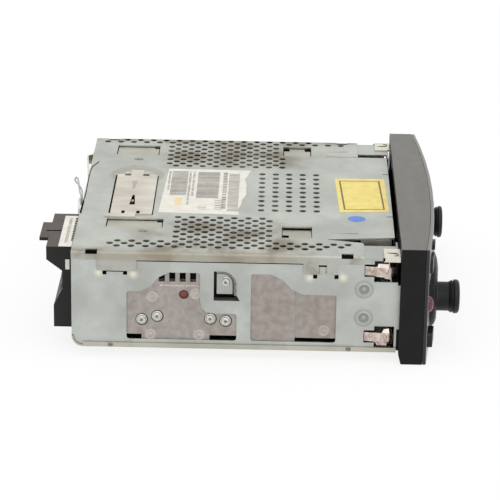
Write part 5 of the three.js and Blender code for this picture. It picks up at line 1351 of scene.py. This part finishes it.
class RADIO_OT_spring_plate(bpy.types.Operator):
    """Builds the pressed dimple and the lanced bits of the spring plate"""
    bl_idname = "radio.spring_plate"
    bl_label = "Spring plate detail"

    def execute(self, context):
        low, high = measured(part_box("spring_plate"))
        near, far, front, rear = -35.0, 26.077, 123.4, 144.6
        outline = [
            (near, front), (far, front), (far, 131.0), (high.x, 131.0), (high.x, 137.5), (far, 137.5), (far, rear),
            (near, rear), (near, high.y), (BAR, high.y), (BAR, 131.75), (near, 131.75),
        ]
        holes = [
            [(-21.5, 132.8), (-6.6, 133.7), (-6.6, 134.8), (-21.5, 135.7)],
            *[rectangle(-34.8, -30.8, y, y + 1.7) for y in (129.7, 137.3)],
            *[rectangle(24.0, 25.7, y, y + 3.4) for y in (127.8, 137.4)],
        ]
        finish = "plated_spring_steel"
        plate = settle(
            "pressed_spring_plate",
            sheet("pressed_spring_plate", [outline, *holes], [], high.z - low.z, LYING, (0, 0, low.z), finish),
            finish, smooth=30)
        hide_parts("spring_plate")
        top = high.z
        fin = [(-15.5, 133.9), (-15.5, 135.0), (-13.0, 134.6), (-13.0, 133.9)]
        parts = [prism("fin", fin, "z", top - 1.5, top - 0.4)]
        for y in (127.8, 137.4):
            outline = [(25.9, y + 0.4), (27.6, y + 0.2), (28.2, y + 1.7), (27.6, y + 3.2), (25.9, y + 3.0)]
            parts.append(prism("bit", outline, "z", top - 0.05, top + 0.5))
        for y in (front + 0.4, rear - 0.4):
            rim = [(y - 0.3, top - 0.02), (y + 0.3, top - 0.02), (y, top + 0.2)]
            parts.append(prism("rim", rim, "x", near, far))
        settle("spring_plate_detail", parts, finish, smooth=30)
        # Painted shade: a slightly darker raised wedge stands for the pressed-in dimple
        wedge = [(2.8, 134.4), (2.8, 135.5), (15.2, 136.2), (15.2, 133.4)]
        settle(
            "spring_plate_dimple", prism("spring_plate_dimple", wedge, "z", top - 0.1, top + 0.03),
            "dimple_shade_zinc")
        slots = [(24.05, 25.65, y, y + 3.3) for y in (127.85, 137.45)]
        slots += [(-34.75, -30.85, y, y + 1.6) for y in (129.75, 137.35)]
        shades = [prism("shade", rectangle(*slot), "z", low.z + 0.1, top - 0.12) for slot in slots]
        settle("spring_plate_shade", shades, "black_oxide")
        return {"FINISHED"}


# How far a printed patch and a printed bar stand off their paper, in millimetres
PRINT_THICKNESS = 0.04
BAR_THICKNESS = 0.05


class RADIO_OT_labels(bpy.types.Operator):
    """Lays the white label, the yellow sticker, the small strip and the painted dot"""
    bl_idname = "radio.labels"
    bl_label = "Labels"

    def execute(self, context):
        values = context.scene.radio_label
        thickness = values.thickness / MM
        torn = [
            (37.3, 74.0), (33.6, 75.3), (28.8, 75.9), (22.0, 77.4), (14.0, 76.4), (6.2, 76.5), (-2.0, 76.2),
            (-9.0, 78.2), (-17.2, 78.6), (-25.0, 80.2), (-32.6, 79.3),
        ]
        self.lay("white_label", [(38.1, 118.0), *torn, (-30.6, 120.4)], thickness, "white_label")
        sticker = [(27.0, 30.0), (27.6, 4.0), (-23.5, 2.9), (-25.3, 28.2)]
        self.lay("yellow_sticker", sticker, thickness, "yellow_label")
        outer = [(23.6, 27.9), (24.2, 6.5), (-20.5, 5.0), (-21.7, 26.0)]
        middle = (sum(x for x, y in outer) / 4, sum(y for x, y in outer) / 4)
        inner = [(x + (0.8 if x < middle[0] else -0.8), y + (0.85 if y < middle[1] else -0.85)) for x, y in outer]
        self.lay("sticker_border", outer, PRINT_THICKNESS, "brown_print", HEIGHT + thickness, inner)
        crown = [(0, 0.1), (0.8, 0.08), (1, 0.02), (1, -0.05), (0, -0.05)]
        dot = [(share * values.dot_diameter / 2 / MM, height) for share, height in crown]
        settle(
            "painted_dot", turned("painted_dot", dot, (-35, 19.8, HEIGHT), (0, 0, 1), 40, (1.0, 0.95)),
            "blue_paint", smooth=50)
        self.prints(thickness)
        low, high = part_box("rear_header")
        top = (high.z - ORIGIN.z) / MM
        strip = [(-36, 160.4), (-36, 166.9), (-80, 166.9), (-80, 160.4)]
        self.lay("strip_label", strip, thickness, "white_label", top)
        self.bars("strip_print", 26, 1.4, 1.6, (-40.0, 163.6), "grey_print", top + thickness, 11, (0.3, 0.9))
        return {"FINISHED"}

    def lay(self, name, outline, thickness, finish, level=HEIGHT, inner=None):
        """A flat patch on its level, with an open middle where it is only a border"""
        outlines = [outline, inner] if inner else [outline]
        settle(name, sheet(name, outlines, [], thickness, LYING, (0, 0, level), finish), finish)

    def bars(self, name, count, pitch, length, start_at, finish, level, seed, widths):
        """A row of plain bars that starts at a place and runs to the left"""
        mesh = grown(name, TREES["bars"], bpy.data.meshes.new(name), {
            "Count": count, "Pitch": pitch, "Length": length, "Least width": widths[0], "Most width": widths[1],
            "Thickness": BAR_THICKNESS, "Seed": seed, "Finish": FINISHES[finish]})
        along = Matrix.Rotation(math.radians(180), 4, "Z")
        mesh.transform(Matrix.Translation(at(*start_at, level)) @ Matrix.Scale(MM, 4) @ along)
        settle(name, mesh, None)

    def prints(self, thickness):
        """The label's plain blocks of bars, and its patch of colour"""
        level = HEIGHT + thickness + 0.01
        rows = [
            ("print_edge", 15, 2.0, 1.0, (33.0, 117.0), 5, (0.5, 1.5)),
            ("print_block_1", 35, 1.1, 8.5, (33.5, 111.6), 7, (0.4, 0.8)),
            ("print_row_1", 24, 2.2, 1.1, (33.0, 106.2), 8, (0.6, 1.6)),
            ("print_row_2", 18, 2.2, 1.1, (33.0, 104.2), 9, (0.6, 1.6)),
            ("print_block_2", 38, 1.1, 11.5, (33.0, 96.4), 10, (0.4, 0.8)),
            ("print_row_3", 22, 2.6, 2.2, (32.0, 87.6), 14, (0.8, 1.8)),
            ("print_row_4", 3, 2.2, 4.6, (-20.5, 98.6), 15, (0.3, 0.7)),
            ("print_row_5", 6, 2.6, 4.2, (-11.5, 90.2), 16, (0.4, 0.9)),
            ("print_block_3", 54, 1.1, 5.6, (31.0, 82.9), 12, (0.3, 0.6)),
        ]
        for name, count, pitch, length, place, seed, widths in rows:
            self.bars(name, count, pitch, length, place, "grey_print", level, seed, widths)
        self.lay(
            "print_patch", [(-8.0, 112.5), (-8.0, 109.0), (-20.0, 109.2), (-20.0, 112.8)], PRINT_THICKNESS,
            "orange_print", HEIGHT + thickness)


class RADIO_OT_rear(bpy.types.Operator):
    """Builds the twisted wire, the retaining wire and the small parts of the rear connector"""
    bl_idname = "radio.rear"
    bl_label = "Rear details"

    # Where the twisted wire leaves the rear wall, where its strands part and where its eye begins
    foot = (-9.5, 161.4, 45.5)
    strands = [
        [(-7.5, 160.8, 50.6), (-3.2, 161.3, 51.4), (0.6, 162.6, 52.0)],
        [(-9.0, 161.2, 49.4), (-5.0, 162.2, 51.0), (0.2, 163.0, 51.8)],
    ]
    eye = [(3.6, 164.0, 52.6), (6.6, 165.2, 52.6), (9.4, 165.6, 53.6), (8.6, 164.8, 54.2), (5.2, 163.8, 53.6)]
    # Teeth of the header: how many, how far apart, and how far the first one's left side is from the right end
    tooth_count = 14
    tooth_pitch = 2.4
    tooth_inset = 8

    def execute(self, context):
        first, second = self.strands
        route = [self.foot, *first, *self.eye, *second[::-1], (self.foot[0] + 1, self.foot[1] + 0.2, self.foot[2])]
        tie = settle("twisted_wire", wire("twisted_wire", route, 0.45), "wire_braid", smooth=60)
        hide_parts("wire_tie")
        hook = [
            (47.6, 156.1), (38.3, 159.0), (27.1, 159.5), (10.0, 159.4), (-5.4, 159.2), (-16.0, 159.5), (-34.0, 159.6),
        ]
        wires = [
            wire("retaining_wire", [(x, y, HEIGHT + 0.1) for x, y in hook], 0.2),
            wire("wire_end", [(x, y, HEIGHT + 0.1) for x, y in hook[-2:]], 0.45),
        ]
        settle("retaining_wire", wires, "black_oxide", smooth=60)
        low, high = measured(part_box("rear_header"))
        teeth = [
            prism("tooth", rectangle(x, x + 1.0, 160.05, 161.3), "z", high.z - 0.5, high.z + 0.35)
            for x in [high.x - self.tooth_inset - self.tooth_pitch * i for i in range(self.tooth_count)]
        ]
        # Painted shadow: a thin black strip for the groove across the header
        teeth.append(prism("seam_shadow", rectangle(-58.1, -57.0, 167.1, 174.5), "z", high.z - 0.3, high.z + 0.06))
        settle("header_teeth", teeth, "black_oxide")
        clip = prism("header_clip", rectangle(161.4, 163.4, 37.3, 42.4), "x", low.x - 0.6, low.x + 1.2)
        settle("header_clip", clip, "acetal")
        return {"FINISHED"}


class RADIO_OT_knobs(bpy.types.Operator):
    """Builds the two turned knobs with their surrounds, the status lens, and dark blocks of painted shade in the gap
    behind the front's lower corners
    """
    bl_idname = "radio.knobs"
    bl_label = "Knobs"

    # Inner radius of a surround, and how far its outer edge stands outside that, in millimetres
    surround_inner = 8.5
    surround_width = 6.9

    def execute(self, context):
        for name in ("volume_knob", "tuning_knob"):
            self.knob(name)
        for side in (-1, 1):
            self.surround(side)
        self.lens()
        # Painted shade: dark blocks that keep the gap behind the front dark
        gap_shades = []
        for side in (-1, 1):
            ends = sorted((side * 80, side * 86.8))
            gap_shades.append(prism("foot", rectangle(*ends, -1.0, 0.25), "z", 0.2, 14))
        settle("front_feet", gap_shades, "moulded_front")
        return {"FINISHED"}

    def lens(self):
        """The domed status lens, taller than it is wide"""
        low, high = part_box("status_lens")
        middle = ((low + high) / 2 - ORIGIN) / MM
        dome = [(0, 2.6), (1.0, 2.4), (1.9, 1.7), (2.4, 0.7), (2.5, -0.5), (2.5, -2.0), (0, -2.0)]
        out = Vector((middle.x / BOW_RADIUS, -1, 0)).normalized()
        centre = (middle.x, front_at(middle.x) + 0.3, middle.z - 1.2)
        lens = settle(
            "domed_lens", turned("domed_lens", dome, centre, out, 32, (1.7, 1.0)),
            "red_acrylic", smooth=60)
        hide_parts("status_lens")

    def surround(self, side):
        """The domed ring round a knob, with two thin bright lines"""
        low, high = measured(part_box("volume_knob"))
        x, z = side * abs(low.x + high.x) / 2, (low.z + high.z) / 2
        out = Vector((x / BOW_RADIUS, -1, 0)).normalized()
        centre = (x, front_at(x), z)
        inner = self.surround_inner
        dome = [
            (inner, -0.4), (inner, 1.9), (9.4, 2.8), (11.4, 3.0), (13.6, 2.2), (15.0, 0.8), (15.4, -0.4), (inner, -0.4),
        ]
        word = "left" if side < 0 else "right"
        settle(
            f"surround_{word}", self.pulled(turned("surround", dome, centre, out, 64), centre),
            "moulded_front", smooth=40)
        lines = []
        for radius, height in ((8.8, 2.4), (10.2, 2.94)):
            foot, edge = height - 0.2, radius + 0.35
            ring = [(radius, foot), (radius, height + 0.1), (edge, height + 0.08), (edge, foot), (radius, foot)]
            lines.append(self.pulled(turned("line", ring, centre, out, 64), centre))
        settle(f"surround_lines_{word}", joined("lines", lines), "zinc_plate", smooth=40)

    def pulled(self, mesh, centre):
        """The same ring with its outer edge pulled upwards, taller than it is wide"""
        middle = at(*centre)
        for vertex in mesh.vertices:
            away = (vertex.co - middle) / MM
            share = max(0, (math.hypot(away.x, away.z) - self.surround_inner) / self.surround_width)
            vertex.co.z += (0.32 * away.z + 4) * share * MM
        return mesh

    def knob(self, node):
        """A waisted knob with a groove round its rim, bored for its shaft"""
        low, high = measured(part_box(node))
        radius, length = (high.x - low.x) / 2, high.y - low.y
        centre = ((low.x + high.x) / 2, high.y, (low.z + high.z) / 2)
        stem = radius * 0.857
        profile = [
            (0, 6), (3.05, 6), (3.05, 0), (stem - 0.4, 0), (stem, 0.4), (stem, 0.56 * length),
            (stem + 0.15, 0.6 * length), (radius - 0.35, 0.69 * length), (radius - 0.3, 0.715 * length),
            (radius - 0.75, 0.73 * length), (radius - 0.75, 0.755 * length), (radius - 0.2, 0.775 * length),
            (radius, 0.8 * length), (radius, 0.9 * length), (radius - 0.3, 0.95 * length),
            (radius - 0.9, 0.985 * length), (radius - 1.7, length), (radius - 2.6, length),
            (radius - 3.1, length - 0.35), (radius - 4.2, length - 0.6), (0, length - 0.7),
        ]
        knob = settle(
            f"turned_{node}", turned(node, profile, centre, (0, -1, 0), 64),
            "moulded_knob", node, smooth=32)
        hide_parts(node)


class RADIO_OT_front(bpy.types.Operator):
    """Softens the moulded edges of the front and prints the numbers on the buttons"""
    bl_idname = "radio.front"
    bl_label = "Front"

    # Radius of a button's and the header's edges, and a number's height and half thickness, in millimetres
    button_edge = 0.35
    header_edge = 0.25
    number_height = 4.2
    number_depth = 0.02

    def execute(self, context):
        radius = context.scene.radio_front.edge_radius
        for node in ("fascia_frame", "front_panel"):
            self.soften(node, radius, 2)
        for node in NODE_FINISHES["moulded_button"]:
            self.soften(node, self.button_edge * MM, 2)
        self.soften("rear_header", self.header_edge * MM, 1)
        for number in range(1, 7):
            self.number(number)
        return {"FINISHED"}

    def soften(self, node, width, segments):
        """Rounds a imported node's edges without a change to its own mesh"""
        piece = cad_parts[node]
        weld = piece.modifiers.new("Weld", "WELD")
        weld.merge_threshold = 1e-6
        bevel = piece.modifiers.new("Edge radius", "BEVEL")
        bevel.width = width
        bevel.segments = segments
        bevel.limit_method = "ANGLE"
        bevel.angle_limit = math.radians(40)
        bevel.use_clamp_overlap = True

    def number(self, number):
        """A plain number on a preset button"""
        node = f"preset_button_{number}"
        low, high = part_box(node)
        middle = (low + high) / 2
        text = bpy.data.curves.new(f"number_{number}", "FONT")
        text.body = str(number)
        text.size = self.number_height * MM
        text.extrude = self.number_depth * MM
        text.align_x = "CENTER"
        text.align_y = "CENTER"
        mesh = meshed(f"number_{number}", text)
        tilt = math.asin(middle.x / MM / BOW_RADIUS)
        place = Vector((middle.x, low.y + 0.01 * MM, middle.z))
        turn = Matrix.Rotation(tilt, 4, "Z") @ Matrix.Rotation(math.pi / 2, 4, "X")
        mesh.transform(Matrix.Translation(place) @ turn)
        settle(f"number_{number}", mesh, "white_print", node)


class RADIO_PT_pieces(bpy.types.Panel):
    """Lists the pieces of the radio and the sizes and colours that shape them"""
    bl_idname = "RADIO_PT_pieces"
    bl_label = "Car radio"
    bl_space_type = "VIEW_3D"
    bl_region_type = "UI"
    bl_category = "Car radio"

    def draw(self, context):
        for group, names in SHOWN.items():
            box = self.layout.box()
            settings = getattr(context.scene, group)
            for key in settings.__annotations__:
                box.prop(settings, key)
            for name in names:
                box.operator(name)


SHOWN = {
    "radio_stage": ["radio.stage"],
    "radio_cover": ["radio.finishes", "radio.cover", "radio.relief", "radio.spring_plate"],
    "radio_label": ["radio.labels"],
    "radio_front": ["radio.front", "radio.knobs", "radio.latches", "radio.heat_sink", "radio.screws", "radio.rear"],
}
GROUPS = {
    "radio_stage": RadioStageSettings,
    "radio_cover": RadioCoverSettings,
    "radio_label": RadioLabelSettings,
    "radio_front": RadioFrontSettings,
}
CLASSES = [
    *GROUPS.values(), RADIO_OT_stage, RADIO_OT_finishes, RADIO_OT_cover, RADIO_OT_relief, RADIO_OT_heat_sink,
    RADIO_OT_screws, RADIO_OT_latches, RADIO_OT_spring_plate, RADIO_OT_labels, RADIO_OT_rear, RADIO_OT_knobs,
    RADIO_OT_front, RADIO_PT_pieces,
]


def register():
    for item in CLASSES:
        bpy.utils.register_class(item)
    for name, group in GROUPS.items():
        setattr(bpy.types.Scene, name, PointerProperty(type=group))


def unregister():
    for name in GROUPS:
        delattr(bpy.types.Scene, name)
    for item in reversed(CLASSES):
        bpy.utils.unregister_class(item)


def main():
    register()
    bpy.ops.radio.stage()
    bpy.ops.radio.finishes()
    bpy.ops.radio.cover()
    bpy.ops.radio.relief()
    bpy.ops.radio.heat_sink()
    bpy.ops.radio.screws()
    bpy.ops.radio.latches()
    bpy.ops.radio.spring_plate()
    bpy.ops.radio.labels()
    bpy.ops.radio.rear()
    bpy.ops.radio.knobs()
    bpy.ops.radio.front()


if __name__ == "__main__":
    main()
